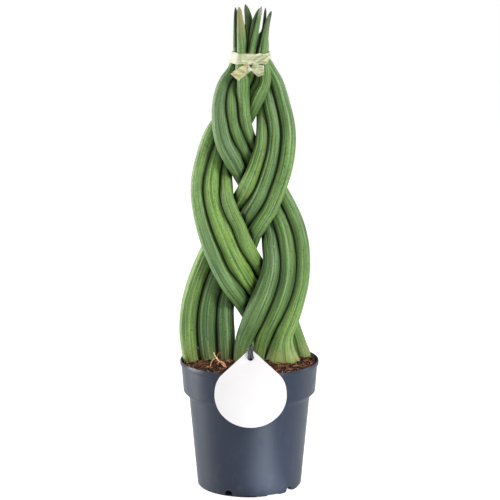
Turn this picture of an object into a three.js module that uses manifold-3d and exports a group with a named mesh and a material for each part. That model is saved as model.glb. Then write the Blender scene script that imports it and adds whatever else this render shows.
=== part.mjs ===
// A potted twister snake plant: nine cylindrical leaves, plaited as three strands of three, in a
// nursery pot of soil, tied near their tips and hung with a blank tag. Millimetres, +Z up, the
// origin on the ground under the middle of the pot, the front towards -Y.
import * as THREE from "three";
import { mergeVertices } from "three/addons/utils/BufferGeometryUtils.js";
import Module from "manifold-3d";

// The pot
const RIM_RADIUS = 60;
const POT_HEIGHT = 111;
const BEAD_HEIGHT = 4.5;
const COLLAR_TOP_RADIUS = 58.9;
const COLLAR_FOOT_RADIUS = 57.2;
const COLLAR_FOOT_HEIGHT = 84;
const SHOULDER_RADIUS = 52.4;
const SHOULDER_HEIGHT = 79;
const BASE_RADIUS = 45.2;
const BASE_ROUND = 1.6;
const WALL = 1.4;
const FLOOR_UNDERSIDE = 3;
const FLOOR_THICKNESS = 1.5;
const FOOT_RING_WIDTH = 4.2;
const FOOT_COUNT = 15;
const FOOT_WIDTH = 6;
const FOOT_HEIGHT = 0.9;
const FIRST_FOOT = -9;
const DRAIN_COUNT = 5;
const DRAIN_WIDTH = 7;
const DRAIN_HEIGHT = 5.2;
const FIRST_DRAIN = -23;
const ROUND_SEGMENTS = 48;

// The soil, heaped a little above the rim round the leaves
const CLEARANCE = 0.3;
const SOIL_EDGE_HEIGHT = 108.4;
const SOIL_HEAP = 4.6;
const SOIL_HEAP_SHIFT = 9;
const SOIL_LEFT_RISE = 1.3;
const SOIL_RINGS = 7;
const HOLE_CLEARANCE = 0.4;

// The leaves: heights where each leaf's sideways place and thickness are given
const PLACE_HEIGHTS = [105, 130, 155, 180, 205, 230, 255, 280, 305, 330, 350, 365, 372];
const THICKNESS_HEIGHTS = [105, 130, 155, 180, 205, 255, 305, 350, 372];
const ROOT_HEIGHT = 84;
const ROOT_LEVELS = 3;
const ROOT_REACH = 0.86;
const ROOT_THICKNESS = 0.62;
const ROOT_FLARE = 0.6;
const ROOT_END = 1.5;
const LEAF_FOOT = 111;
const FLARE_TOP = 132;
const TIE_HEIGHT = 372;
const BRAID_LEVELS = 24;
const TIP_STEPS = [0.25, 0.5, 0.75, 0.92, 1];
const TIP_TAPER = [0.88, 0.74, 0.56, 0.38, 0.22];
const TIP_BEND = 1.4;
const TIP_END = 0.8;
const SKIN_INSET = 0.1;
const LEAF_SIDES = 16;
const GROOVE = 0.1;
const LEAF_GAP = 0.4;
const NUDGE_REACH = 2;
const SETTLE_ROUNDS = 200;
const FATTEN_ROUNDS = 10;
const FATTEN_SHARE = 0.22;
const WIDEST_SLIT = 2.6;

// The plait: each strand lies over one of the others wherever the two cross, and stands some way
// forward of the pot's middle at its foot
const STRANDS = {
  left: { over: "middle", forward: 0, fatFrom: 120 },
  right: { over: "left", forward: -10, fatFrom: 134 },
  middle: { over: "right", forward: 9, fatFrom: 134 },
};
const PLAIT_FOOT = 128;
const PLAIT_TOP = 352;
const PLAIT_STEP = 2;
const NEAR_CROSSINGS = 5;

// The raffia tie
const TIE_BAND_HEIGHT = 9;
const TIE_THICKNESS = 0.9;
const TIE_EASE = 0.3;
const TIE_DIP = 1.3;
const TIE_GATHER = 4;
const TIE_LIFT = -0.8;
const TIE_DIRECTIONS = 40;
const KNOT_HEIGHT = 361.6;
const KNOT_SIZE = [2.2, 2, 2.1];
const LEFT_TAIL = [[-1, 367.5], [-16, 358], [-9, 352], [1, 360]];
const RIGHT_TAIL = [[1, 361], [7, 355], [12.5, 357], [12, 364.5], [3, 367]];
const TAIL_TURN = 0.03;
const TAIL_SINK = 0.6;

// The tag and its elastic cord
const TAG_ACROSS = 1;
const TAG_WIDEST_HEIGHT = 94.2;
const TAG_HALF_WIDTH = 30.1;
const TAG_DROP = 27.6;
const TAG_CORNER_RISE = 11.5;
const TAG_SHOULDER = [23.7, 17.5];
const TAG_PEAK = 39.4;
const TAG_POINT = 37.8;
const TAG_POINT_HALF_WIDTH = 3.4;
const TAG_THICKNESS = 0.9;
const TAG_LEAN = THREE.MathUtils.degToRad(3);
const TAG_HOLE_RADIUS = 2.7;
const TAG_HOLE_HEIGHT = 126;
const CORD_RADIUS = 1;
const CORD_SIDES = 8;
const CORD_STEPS = 80;

const wasm = await Module();
wasm.setup();

const MATERIALS = {
  pot: new THREE.MeshStandardMaterial({ color: 0x4c525e, roughness: 0.45, metalness: 0 }),
  soil: new THREE.MeshStandardMaterial({ color: 0x4a3024, roughness: 0.95, metalness: 0 }),
  leaf: new THREE.MeshStandardMaterial({ color: 0x4e7d3a, roughness: 0.55, metalness: 0 }),
  raffia: new THREE.MeshStandardMaterial({ color: 0xe2dfb4, roughness: 0.6, metalness: 0 }),
  card: new THREE.MeshStandardMaterial({ color: 0xf4f2ef, roughness: 0.7, metalness: 0 }),
  cord: new THREE.MeshStandardMaterial({ color: 0x2a2a2e, roughness: 0.8, metalness: 0 }),
};

// Geometry and solids

function closedGeometry(geometry) {
  geometry.deleteAttribute("normal");
  geometry.deleteAttribute("uv");
  return mergeVertices(geometry, 1e-4);
}

function solidOf(geometry) {
  const closed = closedGeometry(geometry);
  return new wasm.Manifold(
    new wasm.Mesh({
      numProp: 3,
      vertProperties: closed.attributes.position.array,
      triVerts: new Uint32Array(closed.index.array),
    }),
  );
}

function geometryOf(solid) {
  const mesh = solid.getMesh();
  const geometry = new THREE.BufferGeometry();
  geometry.setAttribute("position", new THREE.BufferAttribute(mesh.vertProperties, 3));
  geometry.setIndex(new THREE.BufferAttribute(mesh.triVerts, 1));
  geometry.computeVertexNormals();
  return geometry;
}

function named(name, geometry, material) {
  const mesh = new THREE.Mesh(geometry, material);
  mesh.name = name;
  return mesh;
}

// A solid turned about the upright axis from a profile of [radius, height] points
function turned(profile) {
  const points = profile.map(([radius, height]) => new THREE.Vector2(radius, height));
  return new THREE.LatheGeometry(points, ROUND_SEGMENTS).rotateX(Math.PI / 2);
}

// A skin over rings of points, all with the same count, closed at both ends by a pole
function skin(rings, startPole, endPole) {
  const sides = rings[0].length;
  const positions = [...rings.flat(), startPole, endPole].flatMap((p) => [p.x, p.y, p.z]);
  const start = rings.length * sides;
  const index = [];
  for (let i = 0; i < sides; i++) {
    const next = (i + 1) % sides;
    index.push(start, next, i);
    for (let k = 0; k + 1 < rings.length; k++) {
      const low = k * sides;
      const high = low + sides;
      index.push(low + i, low + next, high + next, low + i, high + next, high + i);
    }
    const last = start - sides;
    index.push(start + 1, last + i, last + next);
  }
  const geometry = new THREE.BufferGeometry();
  geometry.setAttribute("position", new THREE.Float32BufferAttribute(positions, 3));
  geometry.setIndex(index);
  return geometry;
}

// A smooth curve through values that are given at rising heights
function valueAt(heights, values, height) {
  const last = heights.length - 1;
  const h = THREE.MathUtils.clamp(height, heights[0], heights[last]);
  let k = 0;
  while (k < last - 1 && h > heights[k + 1]) k++;
  const slope = (i) => {
    const a = Math.max(i - 1, 0);
    const b = Math.min(i + 1, last);
    return (values[b] - values[a]) / (heights[b] - heights[a]);
  };
  const span = heights[k + 1] - heights[k];
  const t = (h - heights[k]) / span;
  const rise = t * t * (3 - 2 * t);
  const leave = t * (1 - t) * (1 - t) * span * slope(k);
  const arrive = t * t * (t - 1) * span * slope(k + 1);
  return values[k] * (1 - rise) + values[k + 1] * rise + leave + arrive;
}

// Leaves

// Each leaf, left to right in its strand: its sideways place and its thickness at the heights above,
// how far forward it lies at the tie and its tip [sideways, forward, height]. Some have a taper of
// their own, bend away earlier or later above the tie, or flare wider at the foot.
const LEAVES = {
  leaf_left_1: {
    across: [-49.2, -52.8, -51.6, -45.8, -35.5, -21, -6.5, 4.2, 10.5, 8.6, 6, 3, 0.9],
    thickness: [13.6, 15, 14.6, 14.2, 13.6, 13.2, 9.4, 8.2, 7.5],
    tied: -7.2,
    tip: [-3.4, -4, 414.2],
    taper: [0.97, 0.95, 0.88, 0.6, 0.2],
    bend: 3,
  },
  leaf_left_2: {
    across: [-34.6, -37, -37, -30, -18, -4, 8, 17, 20.5, 17, 12.5, 10.4, 10.3],
    thickness: [14.6, 16.4, 15.7, 14.8, 13.8, 12.6, 11.2, 9.2, 7.5],
    tied: -10.8,
    tip: [13.5, -8, 411],
    taper: [0.78, 0.55, 0.4, 0.3, 0.18],
    bend: 0.8,
  },
  leaf_left_3: {
    across: [-19.5, -20.7, -21, -13.5, -1, 11.5, 22.5, 30.5, 32.5, 28, 21.3, 14.4, 12.4],
    thickness: [15, 16.2, 15.5, 14.4, 13.6, 13.4, 12.8, 10.4, 8],
    tied: -3,
    tip: [18.2, -3, 408.5],
    bend: 2.5,
  },
  leaf_right_1: {
    across: [10, 7.5, -3.5, -19, -30.6, -39.4, -43.8, -41.4, -33, -12.5, 2, 2.1, 1.4],
    thickness: [12.6, 13.4, 14, 14, 13.8, 10.5, 10.3, 8.2, 6.2],
    tied: 9.6,
    tip: [9.9, 8.5, 412.5],
    taper: [0.95, 0.77, 0.57, 0.46, 0.38],
    bend: 1,
  },
  leaf_right_2: {
    across: [26.5, 23.5, 12.5, -2, -14.5, -26, -32, -30, -21.5, -3, 5, 4, 2.5],
    thickness: [13, 13.6, 14, 15.6, 16.2, 14.2, 10, 8.2, 7.2],
    tied: 1,
    tip: [8.2, 2.5, 411],
    taper: [0.9, 0.8, 0.72, 0.45, 0.2],
    bend: 3,
  },
  leaf_right_3: {
    across: [45.5, 39.8, 30.5, 15.5, 0.2, -9.5, -19, -18.5, -10.5, 3.5, 12, 12.2, 10.9],
    thickness: [14.2, 14, 13.5, 13.3, 12.8, 11.8, 9.8, 9.2, 10.8],
    tied: 6.8,
    tip: [16.2, 6, 406],
    taper: [0.9, 0.575, 0.37, 0.25, 0.15],
    flare: 1.5,
  },
  leaf_middle_1: {
    across: [-8.5, -5.2, 5.5, 15, 18, 11.5, -0.5, -13.5, -23, -25.5, -20.5, -11.6, -10.4],
    thickness: [11.6, 13.6, 18, 16.6, 13.4, 12.5, 14.2, 8.6, 7.5],
    tied: 0.5,
    tip: [-11.6, 1, 411.5],
  },
  leaf_middle_2: {
    across: [7, 11.5, 23, 31, 32, 26, 15, 1, -10.5, -15, -15, -9.2, -7.2],
    thickness: [11.6, 12.8, 13.8, 14.6, 14.4, 11.8, 9.8, 8.8, 7.5],
    tied: -7,
    tip: [-8.6, -4.5, 405],
  },
  leaf_middle_3: {
    across: [27, 28.5, 38, 45, 45.5, 39.5, 28.5, 13.5, -0.5, -5, -6.5, -6.6, -6.3],
    thickness: [17, 16.6, 14, 12.5, 12.2, 11.6, 10.2, 10.6, 8.5],
    tied: 8,
    tip: [-8.65, 6.5, 412],
    taper: [0.92, 0.8, 0.61, 0.45, 0.36],
    flare: 4.2,
  },
};

// Heights where two leaves cross, seen from the front
function crossings(a, b) {
  const gap = (h) => valueAt(PLACE_HEIGHTS, a.across, h) - valueAt(PLACE_HEIGHTS, b.across, h);
  const heights = [];
  for (let h = PLAIT_FOOT; h < PLAIT_TOP; h += PLAIT_STEP) {
    const below = gap(h);
    const above = gap(h + PLAIT_STEP);
    if (below * above < 0) heights.push(h + (PLAIT_STEP * below) / (below - above));
  }
  return heights;
}

// How far forward a leaf lies at its foot, at every crossing and at the tie: [height, forward]
function depths(name) {
  const leaf = LEAVES[name];
  const strand = strandOf(name);
  const points = [];
  for (const [other, otherLeaf] of Object.entries(LEAVES)) {
    if (strandOf(other) === strand) continue;
    for (const height of crossings(leaf, otherLeaf)) {
      const apart = radiusAt(leaf, height) + radiusAt(otherLeaf, height) + LEAF_GAP;
      const side = STRANDS[strand].over === strandOf(other) ? 0.5 : -0.5;
      points.push([height, side * apart]);
    }
  }
  points.sort((a, b) => a[0] - b[0]);
  const merged = [[LEAF_FOOT, STRANDS[strand].forward], [PLAIT_FOOT - 8, STRANDS[strand].forward]];
  for (const point of points) {
    const last = merged.at(-1);
    if (point[0] - last[0] < NEAR_CROSSINGS) {
      last[1] = 0.5 * (last[1] + point[1]);
    } else {
      merged.push(point);
    }
  }
  merged.push([TIE_HEIGHT - 7, leaf.tied], [TIE_HEIGHT, leaf.tied]);
  return merged;
}

function strandOf(name) {
  return name.split("_")[1];
}

function radiusAt(leaf, height) {
  return valueAt(THICKNESS_HEIGHTS, leaf.thickness, height) / 2;
}

// A leaf's middle line as levels of { across, forward, height, radius, extra }
function middleLine(name, leaf) {
  const strand = strandOf(name);
  const levels = [];
  const first = leaf.thickness[0] / 2;
  const places = depths(name);
  const depthHeights = places.map((place) => place[0]);
  const depthValues = places.map((place) => place[1]);
  for (let i = 0; i < ROOT_LEVELS; i++) {
    const part = i / ROOT_LEVELS;
    levels.push({
      across: leaf.across[0] * THREE.MathUtils.lerp(ROOT_REACH, 1, part),
      forward: STRANDS[strand].forward * THREE.MathUtils.lerp(ROOT_REACH, 1, part),
      height: THREE.MathUtils.lerp(ROOT_HEIGHT, LEAF_FOOT, part),
      radius: first * THREE.MathUtils.lerp(ROOT_THICKNESS, 1, part),
      extra: ROOT_FLARE * (leaf.flare ?? 0) * part,
    });
  }
  for (let i = 0; i <= BRAID_LEVELS; i++) {
    const height = LEAF_FOOT + ((TIE_HEIGHT - LEAF_FOOT) * i) / BRAID_LEVELS;
    levels.push({
      across: valueAt(PLACE_HEIGHTS, leaf.across, height),
      forward: valueAt(depthHeights, depthValues, height),
      height,
      radius: radiusAt(leaf, height) - SKIN_INSET,
      extra: (leaf.flare ?? 0) * (1 - THREE.MathUtils.smoothstep(height, LEAF_FOOT, FLARE_TOP)),
    });
  }
  const tied = levels.at(-1);
  const taper = leaf.taper ?? TIP_TAPER;
  const bend = leaf.bend ?? TIP_BEND;
  TIP_STEPS.forEach((part, i) => {
    levels.push({
      across: THREE.MathUtils.lerp(tied.across, leaf.tip[0], part ** bend),
      forward: THREE.MathUtils.lerp(tied.forward, leaf.tip[1], part),
      height: THREE.MathUtils.lerp(tied.height, leaf.tip[2], part),
      radius: tied.radius * taper[i],
      extra: 0,
    });
  });
  return { name, strand, levels };
}

// A point of a leaf's middle line at a level, or part of the way to the next
function pointAt(levels, k) {
  const a = levels[Math.floor(k)];
  const b = levels[Math.ceil(k)];
  const part = k - Math.floor(k);
  const between = (key) => THREE.MathUtils.lerp(a[key], b[key], part);
  return {
    across: between("across"),
    forward: between("forward"),
    height: between("height"),
    radius: between("radius"),
  };
}

// The point of a leaf's middle line nearest to a point, looked for among the levels beside it
function nearestOn(levels, point, level) {
  let best = { distance: Infinity };
  for (let k = Math.max(level - 3, 0); k < Math.min(level + 3, levels.length - 1); k++) {
    const a = levels[k];
    const b = levels[k + 1];
    const run = [b.across - a.across, b.forward - a.forward, b.height - a.height];
    const gap = [point.across - a.across, point.forward - a.forward, point.height - a.height];
    const dot = run[0] * gap[0] + run[1] * gap[1] + run[2] * gap[2];
    const t = THREE.MathUtils.clamp(dot / (run[0] ** 2 + run[1] ** 2 + run[2] ** 2), 0, 1);
    const sideways = gap[0] - run[0] * t;
    const forward = gap[1] - run[1] * t;
    const upward = gap[2] - run[2] * t;
    const distance = Math.hypot(sideways, forward, upward);
    if (distance < best.distance) {
      const radius = THREE.MathUtils.lerp(a.radius, b.radius, t);
      best = { distance, sideways, forward, upward, radius, level: k + t };
    }
  }
  return best;
}

// Moves a leaf's middle line at one level, and the levels beside it a little less, but not its
// root, its tied part or its tip
function nudge(leaf, level, sideways, forward) {
  const from = Math.max(Math.ceil(level - NUDGE_REACH), ROOT_LEVELS);
  const to = Math.min(Math.floor(level + NUDGE_REACH), ROOT_LEVELS + BRAID_LEVELS - 1);
  for (let k = from; k <= to; k++) {
    const share = Math.cos((Math.PI / 2) * ((k - level) / (NUDGE_REACH + 0.01))) ** 2;
    leaf.levels[k].across += sideways * share;
    leaf.levels[k].forward += forward * share;
  }
}

// Lets leaves that still touch settle apart: along the line between them within a strand, and
// mostly forward and back where two strands cross
function settle(leaves) {
  const pairs = leaves.flatMap((a, i) => leaves.slice(i + 1).map((b) => [a, b]));
  for (let round = 0; round < SETTLE_ROUNDS; round++) {
    for (const [a, b] of pairs) {
      for (let k = 0; k < a.levels.length - 1; k += 0.5) {
        const point = pointAt(a.levels, k);
        const near = nearestOn(b.levels, point, Math.floor(k));
        const short = point.radius + near.radius + LEAF_GAP - near.distance;
        if (short <= 0) continue;
        const push = (0.4 * short) / near.distance;
        const sideways = (a.strand === b.strand ? 1 : 0.5) * push * near.sideways;
        const forward = (a.strand === b.strand ? 1 : 1.4) * push * near.forward;
        nudge(a, k, sideways, forward);
        nudge(b, near.level, -sideways, -forward);
      }
    }
  }
  return leaves;
}

// Lets the leaves of a strand grow fat until they lie against each other. A leaf at the strand's
// side moves inwards as it grows, so that its outer side stays where it is.
function fatten(leaves) {
  for (let round = 0; round < FATTEN_ROUNDS; round++) {
    const growths = leaves.map((leaf) => leaf.levels.map((_, k) => growthAt(leaves, leaf, k)));
    leaves.forEach((leaf, n) => {
      const growth = growths[n];
      for (let k = 1; k < leaf.levels.length - 1; k++) {
        const beside = 0.5 * (growth[k - 1].amount + growth[k + 1].amount);
        const amount = Math.min(growth[k].amount, 0.5 * (growth[k].amount + beside));
        leaf.levels[k].radius += amount;
        if (leaf.name.endsWith("2")) continue;
        leaf.levels[k].across -= amount * growth[k].sideways;
        leaf.levels[k].forward -= amount * growth[k].forward;
      }
    });
  }
  return leaves;
}

// How much a leaf may grow at a level in one round, and the direction away from the leaf it nears
function growthAt(leaves, leaf, k) {
  const point = leaf.levels[k];
  const still = { amount: 0, sideways: 0, forward: 0 };
  if (k >= ROOT_LEVELS + BRAID_LEVELS || point.height < STRANDS[leaf.strand].fatFrom) return still;
  let room = Infinity;
  let slit = Infinity;
  let nearest = null;
  for (const other of leaves) {
    if (other === leaf) continue;
    const near = nearestOn(other.levels, point, k);
    const gap = near.distance - point.radius - near.radius - LEAF_GAP;
    room = Math.min(room, gap);
    if (other.strand === leaf.strand && gap < slit) {
      slit = gap;
      nearest = near;
    }
  }
  if (slit > WIDEST_SLIT || room < 0) return still;
  const { distance, sideways, forward } = nearest;
  const amount = FATTEN_SHARE * Math.min(slit, room);
  return { amount, sideways: sideways / distance, forward: forward / distance };
}

// The direction of a leaf at a level, and the two directions across it
function framesOf(levels) {
  const points = levels.map((l) => new THREE.Vector3(l.across, -l.forward, l.height));
  return points.map((point, k) => {
    const before = points[Math.max(k - 1, 0)];
    const after = points[Math.min(k + 1, points.length - 1)];
    const along = after.clone().sub(before).normalize();
    const side = new THREE.Vector3(1, 0, 0).addScaledVector(along, -along.x).normalize();
    return { point, along, side, back: along.clone().cross(side) };
  });
}

// One ring of a leaf's skin, its radius changed by a rule of the side's number
function leafRing(frame, level, sides, radiusOf) {
  const ring = [];
  for (let i = 0; i < sides; i++) {
    const angle = (2 * Math.PI * i) / sides;
    const radius = radiusOf(level.radius, i);
    const wide = Math.cos(angle) * (radius + level.extra);
    const deep = Math.sin(angle) * radius;
    ring.push(frame.point.clone().addScaledVector(frame.side, wide).addScaledVector(frame.back, deep));
  }
  return ring;
}

// A leaf with a ridge on every second side and a groove between
function leafGeometry(leaf) {
  const frames = framesOf(leaf.levels);
  const ribbed = (radius, i) => (i % 2 === 0 ? radius : radius * (1 - GROOVE));
  const rings = leaf.levels.map((level, k) => leafRing(frames[k], level, LEAF_SIDES, ribbed));
  const foot = frames[0];
  const tip = frames.at(-1);
  const startPole = foot.point.clone().addScaledVector(foot.along, -ROOT_END);
  const endPole = tip.point.clone().addScaledVector(tip.along, TIP_END);
  return skin(rings, startPole, endPole);
}

// The hole that a leaf stands in, open at the top of the soil
function leafHole(leaf) {
  const count = ROOT_LEVELS + 2;
  const levels = leaf.levels.slice(0, count);
  const frames = framesOf(leaf.levels).slice(0, count);
  const sides = LEAF_SIDES;
  const widened = (radius) => (radius + HOLE_CLEARANCE) / Math.cos(Math.PI / sides);
  const rings = levels.map((level, k) => leafRing(frames[k], level, sides, widened));
  const startPole = frames[0].point.clone().addScaledVector(frames[0].along, -ROOT_END - CLEARANCE);
  const last = frames[count - 1];
  const endPole = last.point.clone().addScaledVector(last.along, 1);
  return solidOf(skin(rings, startPole, endPole));
}

// The pot

function box(width, depth, height, radius, angle, bottom) {
  const geometry = new THREE.BoxGeometry(width, depth, height);
  geometry.translate(0, -radius, bottom + height / 2);
  return solidOf(geometry.rotateZ(THREE.MathUtils.degToRad(angle)));
}

function potSolid() {
  const outer = [
    [BASE_RADIUS - BASE_ROUND, 0],
    [BASE_RADIUS - 0.3 * BASE_ROUND, 0.3 * BASE_ROUND],
    [BASE_RADIUS, BASE_ROUND],
    [SHOULDER_RADIUS, SHOULDER_HEIGHT],
    [COLLAR_FOOT_RADIUS, COLLAR_FOOT_HEIGHT],
    [COLLAR_TOP_RADIUS, POT_HEIGHT - BEAD_HEIGHT],
    [RIM_RADIUS, POT_HEIGHT - BEAD_HEIGHT + 0.8],
    [RIM_RADIUS, POT_HEIGHT - 0.6],
    [RIM_RADIUS - 0.6, POT_HEIGHT],
  ];
  const inner = [
    [RIM_RADIUS - WALL, POT_HEIGHT],
    ...innerWall(0),
    [0, FLOOR_UNDERSIDE + FLOOR_THICKNESS],
    [0, FLOOR_UNDERSIDE],
    [BASE_RADIUS - FOOT_RING_WIDTH - 1, FLOOR_UNDERSIDE],
    [BASE_RADIUS - FOOT_RING_WIDTH, 0],
  ];
  const profile = [...outer, ...inner];
  let pot = solidOf(turned([...profile, profile[0]]));
  const footStep = 360 / FOOT_COUNT;
  const middle = BASE_RADIUS - FOOT_RING_WIDTH / 2;
  const gap = 2 * Math.PI * (middle / FOOT_COUNT) - FOOT_WIDTH;
  for (let i = 0; i < FOOT_COUNT; i++) {
    const angle = FIRST_FOOT + (i + 0.5) * footStep;
    pot = pot.subtract(box(gap, FOOT_RING_WIDTH + 6, 2 * FOOT_HEIGHT, middle, angle, -FOOT_HEIGHT));
  }
  for (let i = 0; i < DRAIN_COUNT; i++) {
    const angle = FIRST_DRAIN + (i * 360) / DRAIN_COUNT;
    const height = DRAIN_HEIGHT + 1;
    pot = pot.subtract(box(DRAIN_WIDTH, 2 * FOOT_RING_WIDTH + 6, height, middle, angle, -1));
  }
  return pot;
}

// The inside of the wall from just under the bead to the floor, drawn in by a clearance
function innerWall(clearance) {
  const inset = WALL + clearance;
  const floor = FLOOR_UNDERSIDE + FLOOR_THICKNESS + clearance;
  return [
    [COLLAR_FOOT_RADIUS - inset, COLLAR_FOOT_HEIGHT + 0.4],
    [SHOULDER_RADIUS - inset, SHOULDER_HEIGHT + 0.4],
    [BASE_RADIUS - inset, floor],
  ];
}

// The soil

// Height of the soil's top at a place: a heap that also rises to the left, with soft lumps
function soilTop(x, y) {
  const spread = Math.hypot(x - SOIL_HEAP_SHIFT, y) / RIM_RADIUS;
  const heap = SOIL_HEAP * Math.max(0, 1 - spread ** 2) + SOIL_LEFT_RISE * Math.max(0, -x / RIM_RADIUS);
  const lumps = 0.45 * Math.sin(x / 5.2 + 0.7) * Math.cos(y / 4.6) + 0.35 * Math.sin(y / 7.1 - x / 9.3);
  return SOIL_EDGE_HEIGHT + heap + lumps;
}

function soilSolid(leaves) {
  const edge = COLLAR_TOP_RADIUS - WALL - CLEARANCE;
  const top = [];
  for (let i = 0; i <= SOIL_RINGS; i++) {
    top.push([edge * Math.sqrt(1 - i / SOIL_RINGS), SOIL_EDGE_HEIGHT]);
  }
  const floor = FLOOR_UNDERSIDE + FLOOR_THICKNESS + CLEARANCE;
  const wall = innerWall(CLEARANCE).reverse();
  const geometry = turned([[0, floor], ...wall, ...top]);
  const position = geometry.attributes.position;
  for (let i = 0; i < position.count; i++) {
    if (position.getZ(i) > SOIL_EDGE_HEIGHT - 0.01) {
      position.setZ(i, soilTop(position.getX(i), position.getY(i)));
    }
  }
  return leaves.reduce((soil, leaf) => soil.subtract(leafHole(leaf)), solidOf(geometry));
}

// The raffia tie

// The outline drawn tight round the bundle, as points in fixed directions, at a part of the band's
// height, from -0.5 at its lower edge to 0.5 at its upper. The band lies a little lower at the
// front, and on the right it is gathered towards its upper edge.
function bundleOutline(leaves, part, offset) {
  const outline = [];
  for (let i = 0; i < TIE_DIRECTIONS; i++) {
    const angle = (2 * Math.PI * i) / TIE_DIRECTIONS;
    const direction = new THREE.Vector2(Math.cos(angle), Math.sin(angle));
    const dip = TIE_DIP * Math.max(-direction.y, 0);
    const gathered = TIE_GATHER * Math.max(direction.x, 0) ** 2 * (0.5 - part);
    const level = TIE_HEIGHT + TIE_LIFT + TIE_BAND_HEIGHT * part - dip + gathered;
    const rounds = leaves.map((leaf) => crossing(leaf, level));
    const reach = (r) => r.centre.dot(direction) + r.radius;
    const furthest = rounds.reduce((a, b) => (reach(a) > reach(b) ? a : b));
    const point = furthest.centre.clone().addScaledVector(direction, furthest.radius + offset);
    outline.push(new THREE.Vector3(point.x, point.y, level));
  }
  return outline;
}

// Where a leaf crosses a height: its centre seen from above, and its radius there
function crossing(leaf, height) {
  const k = leaf.levels.findIndex((level) => level.height > height);
  const a = leaf.levels[k - 1];
  const b = leaf.levels[k];
  const t = (height - a.height) / (b.height - a.height);
  const x = THREE.MathUtils.lerp(a.across, b.across, t);
  const y = -THREE.MathUtils.lerp(a.forward, b.forward, t);
  const lean = Math.hypot(b.across - a.across, b.forward - a.forward, b.height - a.height);
  const radius = (THREE.MathUtils.lerp(a.radius, b.radius, t) * lean) / (b.height - a.height);
  return { centre: new THREE.Vector2(x, y), radius };
}

// A closed band between an inner and an outer outline at several heights
function band(inner, outer) {
  const sides = inner[0].length;
  const loops = [...inner, ...outer.toReversed()];
  const index = [];
  loops.forEach((_, k) => {
    const a = k * sides;
    const b = ((k + 1) % loops.length) * sides;
    for (let i = 0; i < sides; i++) {
      const next = (i + 1) % sides;
      index.push(a + i, b + next, a + next, a + i, b + i, b + next);
    }
  });
  const geometry = new THREE.BufferGeometry();
  const positions = loops.flat().flatMap((p) => [p.x, p.y, p.z]);
  geometry.setAttribute("position", new THREE.Float32BufferAttribute(positions, 3));
  geometry.setIndex(index);
  return geometry;
}

// A flat tail of the bow from its corners [sideways, height], facing the front
function tail(corners, forward, turn) {
  const shape = new THREE.Shape(corners.map(([x, z]) => new THREE.Vector2(x, z)));
  const geometry = new THREE.ExtrudeGeometry(shape, { depth: TIE_THICKNESS, bevelEnabled: false });
  geometry.rotateX(Math.PI / 2).rotateZ(turn).translate(0, -forward, 0);
  return solidOf(geometry);
}

function tieSolid(leaves) {
  const parts = [-0.5, 0, 0.5];
  const inner = parts.map((part) => bundleOutline(leaves, part, TIE_EASE));
  const outer = parts.map((part) => bundleOutline(leaves, part, TIE_EASE + TIE_THICKNESS));
  const ring = solidOf(band(inner, outer));
  const front = Math.max(...outer[0].map((p) => -p.y));
  const knot = new THREE.SphereGeometry(1, 10, 8).scale(...KNOT_SIZE);
  knot.translate(0, -front, KNOT_HEIGHT);
  return ring
    .add(solidOf(knot))
    .add(tail(LEFT_TAIL.toReversed(), front - TAIL_SINK, TAIL_TURN))
    .add(tail(RIGHT_TAIL, front - TAIL_SINK, -TAIL_TURN));
}

// The tag: a drop-shaped card with straight sides to a rounded point, and a hole for the cord

function tagShape() {
  const shape = new THREE.Shape();
  const [side, shoulder] = TAG_SHOULDER;
  const point = TAG_PEAK - ((TAG_PEAK - shoulder) * TAG_POINT_HALF_WIDTH) / side;
  shape.absellipse(0, 0, TAG_HALF_WIDTH, TAG_DROP, Math.PI, 2 * Math.PI, false, 0);
  shape.quadraticCurveTo(TAG_HALF_WIDTH, TAG_CORNER_RISE, side, shoulder);
  shape.lineTo(TAG_POINT_HALF_WIDTH, point);
  shape.quadraticCurveTo(0, TAG_PEAK, -TAG_POINT_HALF_WIDTH, point);
  shape.lineTo(-side, shoulder);
  shape.quadraticCurveTo(-TAG_HALF_WIDTH, TAG_CORNER_RISE, -TAG_HALF_WIDTH, 0);
  const hole = new THREE.Path();
  hole.absarc(0, TAG_HOLE_HEIGHT - TAG_WIDEST_HEIGHT, TAG_HOLE_RADIUS, 0, 2 * Math.PI, true);
  shape.holes.push(hole);
  return shape;
}

function tagMesh() {
  const geometry = new THREE.ExtrudeGeometry(tagShape(), {
    depth: TAG_THICKNESS,
    bevelEnabled: false,
    curveSegments: 16,
  });
  const mesh = named("tag", closedGeometry(geometry), MATERIALS.card);
  mesh.rotation.x = Math.PI / 2 - TAG_LEAN;
  mesh.position.set(TAG_ACROSS, -tagForward(TAG_WIDEST_HEIGHT), TAG_WIDEST_HEIGHT);
  return mesh;
}

// How far forward the tag's back lies at a height: it leans on the bead of the rim
function tagForward(height) {
  const rest = POT_HEIGHT - 0.5 * BEAD_HEIGHT;
  return RIM_RADIUS + CLEARANCE + 0.1 + (rest - height) * Math.tan(TAG_LEAN);
}

// The elastic cord: one loop round a leaf of the right strand, out between two leaves of the
// middle strand to the tag, over its point and through its hole, and hitched behind it

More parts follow.
